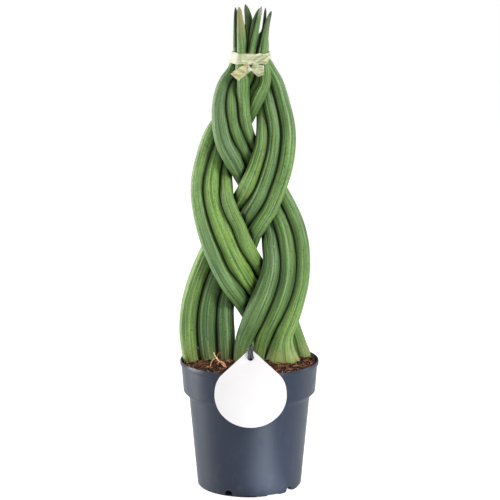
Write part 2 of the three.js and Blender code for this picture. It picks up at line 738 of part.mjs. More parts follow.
function cordRoute(leaves) {
  const clear = CORD_RADIUS + CLEARANCE;
  const front = tagForward(TAG_HOLE_HEIGHT) + TAG_THICKNESS + clear + 0.2;
  const behind = tagForward(TAG_HOLE_HEIGHT) - clear - 0.1;
  const point = TAG_WIDEST_HEIGHT + TAG_POINT;
  const hitch = [
    [1.25, behind - 7, point - 5],
    [1.25, behind - 2.2, point + 0.7],
    [1.25, front - 2.1, point + 1.7],
    [1.2, front - 0.2, point - 0.8],
    [1.2, front - 0.2, TAG_HOLE_HEIGHT + 1.2],
    [1.3, front - 1.9, TAG_HOLE_HEIGHT - 0.3],
    [2.3, behind - 0.2, TAG_HOLE_HEIGHT + 0.4],
    [3.8, behind - 2.5, TAG_HOLE_HEIGHT + 0.8],
    [3.4, behind - 5.4, TAG_HOLE_HEIGHT + 2.4],
  ];
  const right = hitch.map(([x, forward, height]) => [TAG_ACROSS + x, forward, height]);
  const left = hitch.map(([x, forward, height]) => [TAG_ACROSS - x, forward, height]);
  const loop = leafNamed(leaves, "leaf_right_1");
  const slot = [118.7, 115.7].map((height) => slotAt(leaves, height));
  return [
    ...right.toReversed(),
    [TAG_ACROSS + 1.3, 40, 121.4],
    [slot[0].x + 0.4, slot[0].forward + 12, 118.9],
    [slot[0].x, slot[0].forward, 118.7],
    ...[-40, -90, -145, 180, 145, 90, 40, 0].map((angle) => beside(loop, angle, 117.2 - angle / 180)),
    [slot[1].x - 0.6, slot[1].forward + 1, 115.7],
    [slot[1].x - 0.5, slot[1].forward + 12, 116.5],
    [TAG_ACROSS - 1.2, 40, 120.6],
    ...left,
    [TAG_ACROSS, behind - 6.8, TAG_HOLE_HEIGHT + 3.9],
  ].map(([x, forward, height]) => new THREE.Vector3(x, -forward, height));
}

function leafNamed(leaves, name) {
  return leaves.find((leaf) => leaf.name === name);
}

// The middle of the slot between the two leaves that the cord comes out between
function slotAt(leaves, height) {
  const a = crossing(leafNamed(leaves, "leaf_middle_1"), height);
  const b = crossing(leafNamed(leaves, "leaf_middle_2"), height);
  const apart = a.centre.distanceTo(b.centre);
  const middle = a.centre.clone().lerp(b.centre, (apart + a.radius - b.radius) / (2 * apart));
  return { x: middle.x, forward: -middle.y };
}

// A point of the cord as it lies round a leaf, at an angle from the front, to the right
function beside(leaf, angle, height) {
  const round = crossing(leaf, height);
  const radius = round.radius + CORD_RADIUS + 2 * CLEARANCE;
  const turn = THREE.MathUtils.degToRad(angle);
  const x = round.centre.x + radius * Math.sin(turn);
  return [x, -round.centre.y + radius * Math.cos(turn), height];
}

function cordGeometry(leaves) {
  const curve = new THREE.CatmullRomCurve3(cordRoute(leaves), true, "centripetal");
  const frames = curve.computeFrenetFrames(CORD_STEPS, true);
  const index = [];
  const positions = [];
  for (let k = 0; k < CORD_STEPS; k++) {
    const middle = curve.getPointAt(k / CORD_STEPS);
    const ring = k * CORD_SIDES;
    const nextRing = ((k + 1) % CORD_STEPS) * CORD_SIDES;
    for (let i = 0; i < CORD_SIDES; i++) {
      const angle = (2 * Math.PI * i) / CORD_SIDES;
      const point = middle
        .clone()
        .addScaledVector(frames.normals[k], CORD_RADIUS * Math.cos(angle))
        .addScaledVector(frames.binormals[k], CORD_RADIUS * Math.sin(angle));
      positions.push(point.x, point.y, point.z);
      const next = (i + 1) % CORD_SIDES;
      index.push(ring + i, ring + next, nextRing + next, ring + i, nextRing + next, nextRing + i);
    }
  }
  const geometry = new THREE.BufferGeometry();
  geometry.setAttribute("position", new THREE.Float32BufferAttribute(positions, 3));
  geometry.setIndex(index);
  return geometry;
}

// The plant in its pot

const leaves = fatten(settle(Object.entries(LEAVES).map(([name, leaf]) => middleLine(name, leaf))));
const plant = new THREE.Group();
plant.add(named("pot", geometryOf(potSolid()), MATERIALS.pot));
plant.add(named("soil", geometryOf(soilSolid(leaves)), MATERIALS.soil));
leaves.forEach((leaf) => plant.add(named(leaf.name, leafGeometry(leaf), MATERIALS.leaf)));
plant.add(named("raffia_tie", geometryOf(tieSolid(leaves)), MATERIALS.raffia));
plant.add(tagMesh());
plant.add(named("tag_cord", cordGeometry(leaves), MATERIALS.cord));

export default plant;
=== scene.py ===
"""The looks of a potted twister snake plant

Nine grooved leaves in a plait, a nursery pot, crumbly soil, a raffia tie and a blank tag on its
cord. Lengths are in metres, unless their comment says millimetres.
"""

import math
import random

import bmesh
import bpy
import numpy as np
from mathutils import Euler, Matrix, Vector, noise
from mathutils.bvhtree import BVHTree


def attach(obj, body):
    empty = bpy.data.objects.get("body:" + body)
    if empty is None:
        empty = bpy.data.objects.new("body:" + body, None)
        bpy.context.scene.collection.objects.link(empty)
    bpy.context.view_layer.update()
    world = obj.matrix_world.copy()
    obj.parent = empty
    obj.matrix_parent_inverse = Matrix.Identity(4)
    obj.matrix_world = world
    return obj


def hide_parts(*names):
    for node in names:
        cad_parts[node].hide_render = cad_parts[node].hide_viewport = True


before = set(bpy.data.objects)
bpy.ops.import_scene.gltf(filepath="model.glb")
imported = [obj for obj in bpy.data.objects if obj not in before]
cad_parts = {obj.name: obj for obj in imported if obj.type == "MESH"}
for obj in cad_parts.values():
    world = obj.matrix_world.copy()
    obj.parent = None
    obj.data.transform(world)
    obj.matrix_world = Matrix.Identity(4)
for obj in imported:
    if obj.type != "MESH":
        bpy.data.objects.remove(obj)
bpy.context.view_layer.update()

MM = 0.001
LEAF_NAMES = [f"leaf_{strand}_{n}" for strand in ("left", "right", "middle") for n in (1, 2, 3)]


# Small helpers

SAME_POINT = 1e-6


def linear(colour):
    """A colour given with each part from 0 to 255, as Blender's linear colour"""
    parts = [part / 255 for part in colour]
    return tuple(p / 12.92 if p < 0.04045 else ((p + 0.055) / 1.055) ** 2.4 for p in parts) + (1.0,)


def step(values, low, high):
    """0 below low and 1 above high, smooth between, on numbers"""
    part = np.clip((np.asarray(values, float) - low) / (high - low), 0, 1)
    return part * part * (3 - 2 * part)


def window(values, low, low_full, high_full, high):
    """1 between the two middle numbers, fading to 0 at the outer ones"""
    return step(values, low, low_full) * (1 - step(values, high_full, high))


def eased(heights, at, amounts):
    """Amounts at heights, with smooth steps between them"""
    total = np.full(len(heights), float(amounts[0]))
    for i in range(len(at) - 1):
        total += (amounts[i + 1] - amounts[i]) * step(heights, at[i], at[i + 1])
    return total


def choose(*pieces):
    """Selects pieces and nothing else, and makes the first one active"""
    bpy.ops.object.select_all(action="DESELECT")
    for piece in pieces:
        piece.select_set(True)
    bpy.context.view_layer.objects.active = pieces[0]


def linked(name, data):
    """A new object of a mesh or a curve, in the scene"""
    made = bpy.data.objects.new(name, data)
    bpy.context.scene.collection.objects.link(made)
    return made


def added(name):
    """The object that an operator has just added, with its place moved into its mesh"""
    piece = bpy.context.object
    piece.name = name
    piece.data.name = name
    choose(piece)
    bpy.ops.object.transform_apply(location=True, rotation=True, scale=True)
    return piece


def edit(piece, mode="VERT"):
    """Opens a piece for editing, with nothing selected"""
    choose(piece)
    bpy.ops.object.mode_set(mode="EDIT")
    bpy.ops.mesh.select_mode(type=mode)
    bpy.ops.mesh.select_all(action="DESELECT")
    return bmesh.from_edit_mesh(piece.data)


def done():
    bpy.ops.object.mode_set(mode="OBJECT")


def pick(mesh, parts, rule):
    """Selects the vertices, edges or faces that a rule is true for"""
    for part in parts:
        part.select_set(bool(rule(part)))
    mesh.select_flush_mode()


def cut_across(piece, parts, shortest):
    """Cuts the edges of a piece that run along X, and are longer than the shortest, into parts"""
    mesh = edit(piece, "EDGE")
    pick(mesh, mesh.edges, lambda e: abs(e.verts[0].co.x - e.verts[1].co.x) > shortest)
    bpy.ops.mesh.subdivide(number_cuts=parts - 1)
    done()


def merge_points(distance=SAME_POINT):
    """Merges the doubled points of the piece that is being edited"""
    bpy.ops.mesh.select_all(action="SELECT")
    bpy.ops.mesh.remove_doubles(threshold=distance)


def turn_outwards():
    """Turns the faces of the piece that is being edited outwards"""
    bpy.ops.mesh.select_all(action="SELECT")
    bpy.ops.mesh.normals_make_consistent(inside=False)


def modifier(piece, kind, **settings):
    """Adds a modifier with its settings and applies it"""
    choose(piece)
    made = piece.modifiers.new(kind.lower(), kind)
    for key, value in settings.items():
        setattr(made, key, value)
    bpy.ops.object.modifier_apply(modifier=made.name)


def copy_of(node, name):
    """A copy of a CAD node's mesh, with its loose triangles merged"""
    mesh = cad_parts[node].data.copy()
    mesh.materials.clear()
    piece = linked(name, mesh)
    edit(piece)
    merge_points()
    bpy.ops.mesh.customdata_custom_splitnormals_clear()
    done()
    return piece


def points_of(piece, what="co"):
    """The place of each point of a mesh, or its normal, as rows of three numbers"""
    flat = np.empty(len(piece.data.vertices) * 3)
    piece.data.vertices.foreach_get(what, flat)
    return flat.reshape(-1, 3)


def move_points(piece, points):
    piece.data.vertices.foreach_set("co", np.asarray(points, float).ravel())
    piece.data.update()


def carry(piece, name, values, domain="POINT"):
    """Gives each point or face of a mesh a number that its material reads"""
    layer = piece.data.attributes.new(name, "FLOAT", domain)
    layer.data.foreach_set("value", np.asarray(values, np.float32))


def carry_tint(mesh, colours):
    """Gives each point of a mesh a colour of its own"""
    layer = mesh.color_attributes.new("tint", "FLOAT_COLOR", "POINT")
    layer.data.foreach_set("color", np.asarray(colours, np.float32).ravel())


def smooth(piece, angle=None):
    """Shades a piece smooth, all over or only where its faces meet at less than an angle"""
    choose(piece)
    if angle is None:
        bpy.ops.object.shade_smooth()
    else:
        bpy.ops.object.shade_smooth_by_angle(angle=math.radians(angle))


def finish_piece(piece, material, slot, *nodes):
    """Gives a piece its material, and lets it ride and stand for its CAD nodes. The slot is not
    used.
    """
    piece.data.materials.clear()
    piece.data.materials.append(material)
    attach(piece, "root")
    if nodes:
        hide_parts(*nodes)
    return piece


# The camera, a little above the plant's tips and looking down at its middle

CAMERA_PLACE = (0, -1.430, 0.4515)
CAMERA_DOWN = 9.73  # degrees
SENSOR_WIDTH = 36
LENS = 121.87
FRAME_SHIFT = 0.0012
FARTHEST = 100


def add_camera():
    tilt = math.radians(90 - CAMERA_DOWN)
    bpy.ops.object.camera_add(location=CAMERA_PLACE, rotation=(tilt, 0, 0))
    camera = bpy.context.object
    camera.name = "camera"
    camera.data.sensor_width = SENSOR_WIDTH
    camera.data.lens = LENS
    camera.data.shift_x = FRAME_SHIFT
    camera.data.clip_end = FARTHEST
    bpy.context.scene.camera = camera


add_camera()


# What materials are written with


class Tone:
    """A value in a material that sums can be written with"""

    def __init__(self, paint, socket):
        self.paint = paint
        self.socket = socket

    def _math(self, operation, *values):
        inputs = dict(enumerate(values))
        return self.paint.node("ShaderNodeMath", {"operation": operation}, inputs)

    def __add__(self, other):
        return self._math("ADD", self, other)

    __radd__ = __add__

    def __sub__(self, other):
        return self._math("SUBTRACT", self, other)

    def __rsub__(self, other):
        return self._math("SUBTRACT", other, self)

    def __mul__(self, other):
        return self._math("MULTIPLY", self, other)

    __rmul__ = __mul__

    def __pow__(self, power):
        return self._math("POWER", self, power)

    def sine(self):
        return self._math("SINE", self)

    def cosine(self):
        return self._math("COSINE", self)

    def at_least(self, other):
        return self._math("MAXIMUM", self, other)

    def between(self, low, high):
        """0 at low, 1 at high, and smooth between"""
        inputs = {"Value": self, "From Min": low, "From Max": high}
        return self.paint.node("ShaderNodeMapRange", {"interpolation_type": "SMOOTHSTEP"}, inputs)

    def window(self, low, low_full, high_full, high):
        """1 between the two middle values, fading to 0 at the outer ones"""
        return self.between(low, low_full) * (1 - self.between(high_full, high))

    def around(self, middle, reach):
        """1 at a middle value, fading to 0 at a distance from it"""
        return self.window(middle - reach, middle, middle, middle + reach)


class Paint:
    """One material: its nodes, and the coats of colour that are laid over each other

    A table of coats gives each one's colour and strength.
    """

    def __init__(self, name, coats=None):
        self.material = bpy.data.materials.new(name)
        self.material.use_nodes = True
        self.tree = self.material.node_tree
        self.tree.nodes.clear()
        self.coats = coats
        self.tone = None

    def node(self, kind, settings=None, inputs=None, out=0):
        """A node with its settings first, then the values or links of its sockets"""
        node = self.tree.nodes.new(kind)
        for key, value in (settings or {}).items():
            setattr(node, key, value)
        for key, value in (inputs or {}).items():
            if isinstance(value, Tone):
                self.tree.links.new(value.socket, node.inputs[key])
            else:
                node.inputs[key].default_value = value
        return Tone(self, node.outputs[out]) if node.outputs else None

    def place(self):
        return self.node("ShaderNodeTexCoord", out=3)

    def uv(self, name):
        return self.node("ShaderNodeUVMap", {"uv_map": name})

    def split(self, vector):
        node = self.node("ShaderNodeSeparateXYZ", None, {0: vector}).socket.node
        return [Tone(self, output) for output in node.outputs]

    def vector(self, x, y, z):
        return self.node("ShaderNodeCombineXYZ", None, {0: x, 1: y, 2: z})

    def stretched(self, vector, scale, shift=(0, 0, 0), turn=(0, 0, 0)):
        inputs = {"Vector": vector, "Scale": scale, "Location": shift, "Rotation": turn}
        return self.node("ShaderNodeMapping", None, inputs)

    def noise(self, vector, scale, detail, rough=0.5):
        inputs = {"Vector": vector, "Scale": scale, "Detail": detail, "Roughness": rough}
        return self.node("ShaderNodeTexNoise", None, inputs)

    def spots(self, vector, scale):
        """How far each place is from the middle of the nearest spot"""
        return self.node("ShaderNodeTexVoronoi", None, {"Vector": vector, "Scale": scale})

    def mix(self, first, second, share):
        inputs = {0: share, 6: first, 7: second}
        return self.node("ShaderNodeMix", {"data_type": "RGBA"}, inputs, out=2)

    def colour_of(self, name):
        return self.node("ShaderNodeAttribute", {"attribute_name": name})

    def share_of(self, name):
        return self.node("ShaderNodeAttribute", {"attribute_name": name}, out=2)

    def ground(self, deep, light, share):
        """The undermost tone, between a deep and a light colour"""
        self.tone = self.mix(linear(deep), linear(light), share)

    def coat(self, name, share):
        """Lays a coat from the table over the tone so far, where its share is high"""
        colour, strength = self.coats[name]
        self.tone = self.mix(self.tone, linear(colour), share * strength)

    def surface(self, **inputs):
        """The shader itself. Socket names have _ for their spaces."""
        named = {key.replace("_", " "): value for key, value in inputs.items()}
        shader = self.node("ShaderNodeBsdfPrincipled", None, named)
        self.node("ShaderNodeOutputMaterial", None, {"Surface": shader})
        return self.material

    def finished(self, rough, relief, strength, depth, shine, **others):
        """The surface with all its coats and a relief, whose depth is in millimetres"""
        inputs = {"Height": relief, "Strength": strength, "Distance": depth * MM}
        normal = self.node("ShaderNodeBump", None, inputs)
        others.update(Base_Color=self.tone, Roughness=rough, Normal=normal)
        return self.surface(Specular_IOR_Level=shine, **others)


# Rods that are bent along a curve, for the leaves, the old roots and the cord

CURVE_STEPS = 10


def curve_through(name, points, radii, closed=False, rounded=True):
    """A curve object through points, rounded between them or straight, and its length"""
    data = bpy.data.curves.new(name, "CURVE")
    data.dimensions = "3D"
    data.resolution_u = CURVE_STEPS
    spline = data.splines.new("BEZIER" if rounded else "POLY")
    knots = spline.bezier_points if rounded else spline.points
    knots.add(len(points) - 1)
    for knot, place, radius in zip(knots, points, radii):
        knot.radius = radius
        if rounded:
            knot.co = place
            knot.handle_left_type = knot.handle_right_type = "AUTO"
        else:
            knot.co = (*place, 1)
    spline.use_cyclic_u = closed
    curve = linked(name, data)
    bpy.context.view_layer.update()
    return curve, spline.calc_length()


def straight_rod(name, length, radius, sides, parts, layer_name):
    """A rod along X, cut into parts and each of these again

    Its UV map holds turns round the rod and parts of its length.
    """
    middle, lying = (length / 2, 0, 0), (0, math.pi / 2, 0)
    bpy.ops.mesh.primitive_cylinder_add(
        vertices=sides, radius=radius, depth=length, location=middle, rotation=lying
    )
    rod = added(name)
    for count in parts:
        cut_across(rod, count, 0.01 * MM)
    points = points_of(rod)
    turns = np.arctan2(points[:, 2], points[:, 1]) / math.tau % 1
    while rod.data.uv_layers:
        rod.data.uv_layers.remove(rod.data.uv_layers[0])
    layer = rod.data.uv_layers.new(name=layer_name)
    for face in rod.data.polygons:
        here = turns[list(face.vertices)]
        ends_a_turn = len(here) == 4 and here.max() > 0.75
        if ends_a_turn:
            here = here + (here < 0.25)
        for loop, vertex, turn in zip(face.loop_indices, face.vertices, here):
            layer.data[loop].uv = (turn, points[vertex][0] / length)
    return rod


def bend_along(rod, curve):
    modifier(rod, "CURVE", object=curve, deform_axis="POS_X")
    bpy.data.objects.remove(curve)


# The leaves' green

RIDGES = 8
LEAF_SEED = 3.7

# Each leaf's deep and light tones, the tone of its bright patches, where along it they lie (0 at
# the root, 1 at the tip), their strength, and the strength of its grey-blue stripes
LEAF_LOOKS = {
    "leaf_left_1": ((62, 92, 40), (118, 154, 68), (128, 164, 70), (0.05, 0.62), 0.45, 0.45),
    "leaf_left_2": ((50, 78, 40), (100, 136, 68), (112, 150, 72), (0.3, 0.95), 0.4, 0.8),
    "leaf_left_3": ((50, 80, 42), (104, 142, 74), (118, 156, 72), (0.4, 0.95), 0.5, 0.7),
    "leaf_right_1": ((58, 94, 44), (116, 154, 78), (128, 166, 70), (0.45, 0.8), 0.45, 0.6),
    "leaf_right_2": ((68, 106, 38), (116, 156, 62), (126, 166, 58), (0.2, 0.6), 0.75, 0.3),
    "leaf_right_3": ((64, 100, 40), (118, 156, 70), (132, 166, 64), (0.16, 0.6), 0.6, 0.45),
    "leaf_middle_1": ((54, 84, 42), (103, 137, 72), (114, 152, 72), (0.02, 0.22), 0.4, 0.7),
    "leaf_middle_2": ((58, 90, 38), (110, 148, 66), (128, 164, 60), (0.02, 0.25), 0.6, 0.45),
    "leaf_middle_3": ((62, 96, 42), (116, 154, 74), (132, 170, 74), (0.0, 0.24), 0.75, 0.45),
}
# The colour of each leaf's dry tip and how far down it reaches. The near-black tips of left_2 and
# middle_1 are painted shade, as they lie back in the shadow between the other tips.
TIP_LOOKS = {
    "leaf_left_1": ((62, 78, 50), 0.03),
    "leaf_left_2": ((30, 34, 28), 0.1),
    "leaf_left_3": ((58, 66, 52), 0.03),
    "leaf_right_1": ((160, 154, 148), 0.012),
    "leaf_right_2": ((52, 70, 42), 0.03),
    "leaf_right_3": ((96, 104, 78), 0.02),
    "leaf_middle_1": ((34, 36, 28), 0.03),
    "leaf_middle_2": ((70, 84, 52), 0.02),
    "leaf_middle_3": ((140, 132, 88), 0.036),
}
# Streaks along a leaf: how fine they are round it and along it, their detail, the shift that sets
# them apart from the others, and the noise values at which they are at nothing and in full
STREAKS = {
    "fine": (8, 14, 3, 0, (0.3, 0.7)),
    "broad": (2.4, 5, 2, 0, (0.36, 0.64)),
    "bands": (1.2, 120, 2, 9, (0.45, 0.75)),
    "faint": (2, 18, 1, 57, (0.3, 0.7)),
    "stripes": (2.1, 2.6, 1, 31, (0.5, 0.62)),
    "dark": (15, 9, 2, 77, (0.5, 0.66)),
    "pale": (15, 9, 2, 77, (0.5, 0.34)),
}
LEAF_COATS = {
    "band": ((44, 66, 34), 0.4),
    "dark_streak": ((38, 62, 28), 0.55),
    "pale_streak": ((158, 190, 112), 0.36),
    # painted shade in the grooves
    "groove_shade": ((28, 46, 22), 1),
    # a painted highlight along one lip of each groove
    "lip_highlight": ((158, 188, 146), 1),
    "speck": ((40, 60, 30), 4),
    "scar": ((172, 186, 134), 0.6),
    # shade and crease: painted shade where other leaves lie close, near-black in the creases
    "shade": ((34, 56, 22), 0.6),
    "crease": ((17, 14, 8), 0.94),
}
STRIPE_COLOUR = (76, 112, 84)
FOOT_COLOUR = (166, 164, 104)
PALE_FOOT = (0.08, 0.135)  # parts of the leaf's length between which its pale foot ends
DARKEST_CREASE = (0.42, 0.92)  # shares of closeness between which the painted shade in a crease goes black


def groove_phase(number):
    """Where round a leaf its deep and its shallow grooves lie"""
    return 2.4 * number


def leaf_paint(name, number):
    deep, light, patch, (start, end), bright, blue = LEAF_LOOKS[name]
    tip, reach = TIP_LOOKS[name]
    own_coats = {
        "stripe": (STRIPE_COLOUR, blue),
        "patch": (patch, bright),
        "foot": (FOOT_COLOUR, bright),
        "tip": (tip, 1),
    }
    paint = Paint(name + "_green", {**LEAF_COATS, **own_coats})
    place = paint.place()
    around, along, _ = paint.split(paint.uv("leaf"))
    turn = around * math.tau
    ring = (turn.cosine(), turn.sine())
    seed = LEAF_SEED * number

    def streaks(kind):
        fineness, length, detail, shift, limits = STREAKS[kind]
        rise = along * length + (seed + shift)
        vector = paint.vector(ring[0] * fineness, ring[1] * fineness, rise)
        return paint.noise(vector, 1, detail).between(*limits)

    fine = streaks("fine")
    broad = streaks("broad")
    faint = streaks("faint")
    upright = paint.stretched(place, (1, 1, 0.5), shift=(seed, 0, 0))
    clouds = paint.noise(upright, scale=42, detail=3).between(0.34, 0.66)
    specks = paint.noise(place, scale=900, detail=2)
    uneven = (turn * 3 + groove_phase(number)).cosine() * 0.5 + 0.5
    groove_shade = (0.5 - 0.5 * (turn * RIDGES).cosine()) ** 5
    lip_highlight = (0.5 - 0.5 * (turn * RIDGES + 1).cosine()) ** 9
    patches = along.window(start - 0.06, start + 0.04, end - 0.08, end + 0.04)
    scars = 1 - paint.spots(paint.stretched(place, (1, 1, 0.6)), 130).between(0.05, 0.11)
    rare = paint.noise(place, scale=60, detail=1).between(0.61, 0.67)
    foot = 1 - along.between(*PALE_FOOT)
    dry = along.between(1 - 2.6 * reach, 1 - 0.5 * reach) * (0.6 + fine * 0.4)
    crease_shade = paint.share_of("painted_crease_shade")

    paint.ground(deep, light, fine * 0.42 + broad * 0.42 + clouds * 0.3)
    paint.coat("stripe", streaks("stripes") * (0.35 + fine * 0.65))
    paint.coat("patch", patches * (clouds * 0.6 + broad * 0.5))
    paint.coat("band", streaks("bands") * clouds)
    paint.coat("dark_streak", streaks("dark"))
    paint.coat("pale_streak", streaks("pale"))
    # Painted shade in the grooves, stronger where the grooves are deeper
    paint.coat("groove_shade", groove_shade * (0.25 + uneven * 0.4) * (0.3 + faint * 0.7))
    # Painted highlight: a pale line along one lip of each groove
    paint.coat("lip_highlight", lip_highlight * (0.15 + uneven * 0.6) * (0.3 + broad * 0.6) * (1 - faint * 0.5))
    paint.coat("speck", (specks - 0.56).at_least(0))
    paint.coat("scar", scars * rare)
    paint.coat("foot", foot * fine)
    # The dry tip, which on left_2 and middle_1 is painted shade
    paint.coat("tip", dry)
    # Painted shade where other leaves lie close, near-black in the creases
    paint.coat("shade", crease_shade)
    paint.coat("crease", crease_shade.between(*DARKEST_CREASE))
    rough = 0.42 + fine * 0.12 + dry * 0.25 + crease_shade * 0.4
    relief = fine * 0.6 + specks * 0.5 + broad * 0.4
    return paint.finished(rough, relief, strength=0.4, depth=0.6, shine=0.42)


# The leaves

LEAF_SIDES = 80
LEAF_PARTS = (13, 12)
ROD_RADIUS = 0.01
GROOVE_DEPTH = 0.1  # a share of the radius
CAD_SIDES = 16
FLARE_TOP = 0.132
TIP_RISE = 0.8  # how many millimetres the rounded tip stands above the last ring
TIP_SHARE = 0.3  # the tip's radius as a share of the last ring's
# How many millimetres wider than round a few leaves are on one side (-1 left, 1 right) at heights
SPREAD = {
    "leaf_middle_1": (1, (0.1215, 0.1265, 0.1325, 0.1385), (0, 1.5, 1.3, 0)),
    "leaf_left_1": (-1, (0.372, 0.385, 0.395, 0.4), (0, 1, 1.1, 0)),
    # left_2's spread side, near-black with its tip's painted shade, fills the shadowed gap below
    # the tips
    "leaf_left_2": (-1, (0.37, 0.377, 0.3885, 0.3935), (0, 2.3, 2.6, 0)),
    "leaf_middle_3": (1, (0.372, 0.385, 0.395, 0.405), (0, 0.6, 0.7, 0.3)),
}
# Heights at which two leaves lie away from their place in the CAD, and how many millimetres
# across and to the back
LEAF_DRIFT = {
    "leaf_middle_2": ((0.295, 0.322, 0.35, 0.366), (0, -0.2, -0.4, 0), (0, -2.4, -2.6, 0)),
    "leaf_middle_3": ((0.322, 0.338, 0.352, 0.37), (0, 0.8, 2.4, 0), (0, 0, 0, 0)),
}
# Heights between which the leaves of a strand are pressed against each other, those between which
# all the leaves are bunched under the tie, and those at which the tips above it begin
PRESSED = (0.116, 0.128, 0.362, 0.372)
BUNCHED = (0.31, 0.335, 0.372, 0.376)
ABOVE_TIE = (0.374, 0.38)
PRESS_DEPTH = 0.12 * MM  # how far a pressed leaf goes into its neighbour
PRESS_GAPS = (0.8 * MM, 2 * MM)  # gaps under the first are closed, those past the second stay
TOUCHING = 0.04 * MM
# How many millimetres from its neighbour a leaf gets painted shade: from one at its left, one at
# its right, and one of another strand, whose shade reaches further above the tie
SHADE_FROM_LEFT = 5.6
SHADE_FROM_RIGHT = 3.2
SHADE_FROM_CROSSING = 5.8
FURTHER_ABOVE = 2
TIP_GAPS = (0.2 * MM, 7.4 * MM)
LOST_UNDER_TIE = 0.85  # the share of a crossing's shade that is lost where all are bunched


def rings_of(node):
    """A leaf's middle line as it stands in the CAD node: each ring's middle, radius and width"""
    mesh = bmesh.new()
    mesh.from_mesh(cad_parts[node].data)
    bmesh.ops.remove_doubles(mesh, verts=mesh.verts, dist=SAME_POINT)
    mesh.verts.index_update()
    poles = [v for v in mesh.verts if len(v.link_edges) == CAD_SIDES]
    pole = min(poles, key=lambda v: v.co.z)
    seen = {pole}
    front = [pole]
    rings = []
    while front:
        found = {e.other_vert(v) for v in front for e in v.link_edges} - seen
        front = sorted(found, key=lambda v: v.index)  # the same order in each run
        seen.update(front)
        if len(front) == CAD_SIDES:
            middle = sum((v.co for v in front), Vector()) / CAD_SIDES
            ridges = sorted((v.co - middle).length for v in front)[CAD_SIDES // 2 :]
            wide = max(v.co.x for v in front) - min(v.co.x for v in front)
            deep = max(v.co.y for v in front) - min(v.co.y for v in front)
            rings.append((middle, sum(ridges) / len(ridges), wide / deep))
    mesh.free()
    return rings


def cut_grooves(points, number):
    """Draws the points of a round rod in where its grooves are"""
    angle = np.arctan2(points[:, 2], points[:, 1])
    depth = (0.5 - 0.5 * np.cos(RIDGES * angle)) ** 3
    uneven = 0.5 + 0.5 * np.cos(3 * angle + groove_phase(number))
    points[:, 1:] *= (1 - GROOVE_DEPTH * depth * (0.35 + 0.65 * uneven))[:, None]


def leaf_rod(name, number):
    """A grooved leaf bent along its middle line, which round each point is on, and its rings"""
    rings = rings_of(name)
    tip, radius, _ = rings[-1]
    upwards = (tip - rings[-2][0]).normalized()
    ends = [*rings, (tip + upwards * TIP_RISE * MM, TIP_SHARE * radius, 1.0)]
    middles = [ring[0] for ring in ends]
    curve, length = curve_through(name + "_spine", middles, [ring[1] / ROD_RADIUS for ring in ends])
    rod = straight_rod(name + "_skin", length, ROD_RADIUS, LEAF_SIDES, LEAF_PARTS, "leaf")
    points = points_of(rod)
    rounds = np.rint(points[:, 0] / length * math.prod(LEAF_PARTS)).astype(int)
    cut_grooves(points, number)
    move_points(rod, points)
    bend_along(rod, curve)

    points = points_of(rod)
    heights = [ring[0].z for ring in rings]
    centre = np.interp(points[:, 2], heights, [ring[0].x for ring in rings])
    widths = [max(1.0, ring[2]) if ring[0].z < FLARE_TOP else 1.0 for ring in rings]
    points[:, 0] = centre + (points[:, 0] - centre) * np.interp(points[:, 2], heights, widths)
    if name in LEAF_DRIFT:
        at, across, back = LEAF_DRIFT[name]
        for axis, drift in ((0, across), (1, back)):
            points[:, axis] += eased(points[:, 2], at, drift) * MM
    if name in SPREAD:
        side, at, wider = SPREAD[name]
        offset = (points[:, 0] - centre) * side
        radii = np.interp(points[:, 2], heights, [ring[1] for ring in rings])
        extra = eased(points[:, 2], at, wider) * MM
        points[:, 0] += side * extra * np.clip(offset / radii, 0, 1)
    move_points(rod, points)
    smooth(rod)
    return rod, rounds, rings


def middles_and_radii(points, rounds):
    """The middle and the radius of each round of a bent leaf"""
    count = np.bincount(rounds)[:, None]
    sums = np.stack([np.bincount(rounds, points[:, axis]) for axis in range(3)], axis=1)
    middles = sums / count
    reach = np.linalg.norm(points - middles[rounds], axis=1)
    return middles, np.bincount(rounds, reach) / count[:, 0]


def middle_across(middles, height):
    """Where a leaf's middle line is across, at heights"""
    return np.interp(height, middles[:, 2], middles[:, 0])


def gap_to(points, middles, radii):
    """How far each point is from the surface of another leaf"""
    gap = np.full(len(points), np.inf)
    for middle, radius in zip(middles, radii):
        gap = np.minimum(gap, np.linalg.norm(points - middle, axis=1) - radius)
    return gap


def closeness(gap, reach):
    """1 where leaves touch, fading to 0 at a reach in millimetres"""
    return 1 - step(gap / reach, TOUCHING, MM)


def strand_of(name):
    return name.split("_")[1]


def press_leaves(rods):
    """Presses the leaves of a strand against each other, and gives each point painted shade where
    other leaves lie close
    """
    points = {name: points_of(rod) for name, (rod, _, _) in rods.items()}
    shapes = {name: middles_and_radii(points[name], rods[name][1]) for name in rods}
    for name, (rod, rounds, _) in rods.items():
        here = points[name]
        height = here[:, 2]
        middles = shapes[name][0]
        beside = crossing = np.full(len(here), np.inf)
        shade = np.zeros(len(here))
        for other, shape in shapes.items():
            if other == name:
                continue
            gap = gap_to(here, *shape)
            if strand_of(other) == strand_of(name):
                beside = np.minimum(beside, gap)
                at_left = middle_across(shape[0], height) < middle_across(middles, height)
                reach = np.where(at_left, SHADE_FROM_LEFT, SHADE_FROM_RIGHT)
                shade = np.maximum(shade, closeness(gap, reach))
            else:
                crossing = np.minimum(crossing, gap)

        outward = here - middles[rounds]
        outward /= np.linalg.norm(outward, axis=1)[:, None] + 1e-9
        push = 0.5 * np.maximum(beside, 0) + PRESS_DEPTH
        push *= (1 - step(beside, *PRESS_GAPS)) * window(height, *PRESSED)
        move_points(rod, here + outward * push[:, None])

        above = step(height, *ABOVE_TIE)
        shade = np.maximum(shade, (1 - step(beside, *TIP_GAPS)) * above)
        crossing_shade = closeness(crossing, SHADE_FROM_CROSSING + FURTHER_ABOVE * above)
        crossing_shade *= 1 - LOST_UNDER_TIE * window(height, *BUNCHED)
        carry(rod, "painted_crease_shade", np.maximum(shade, crossing_shade))


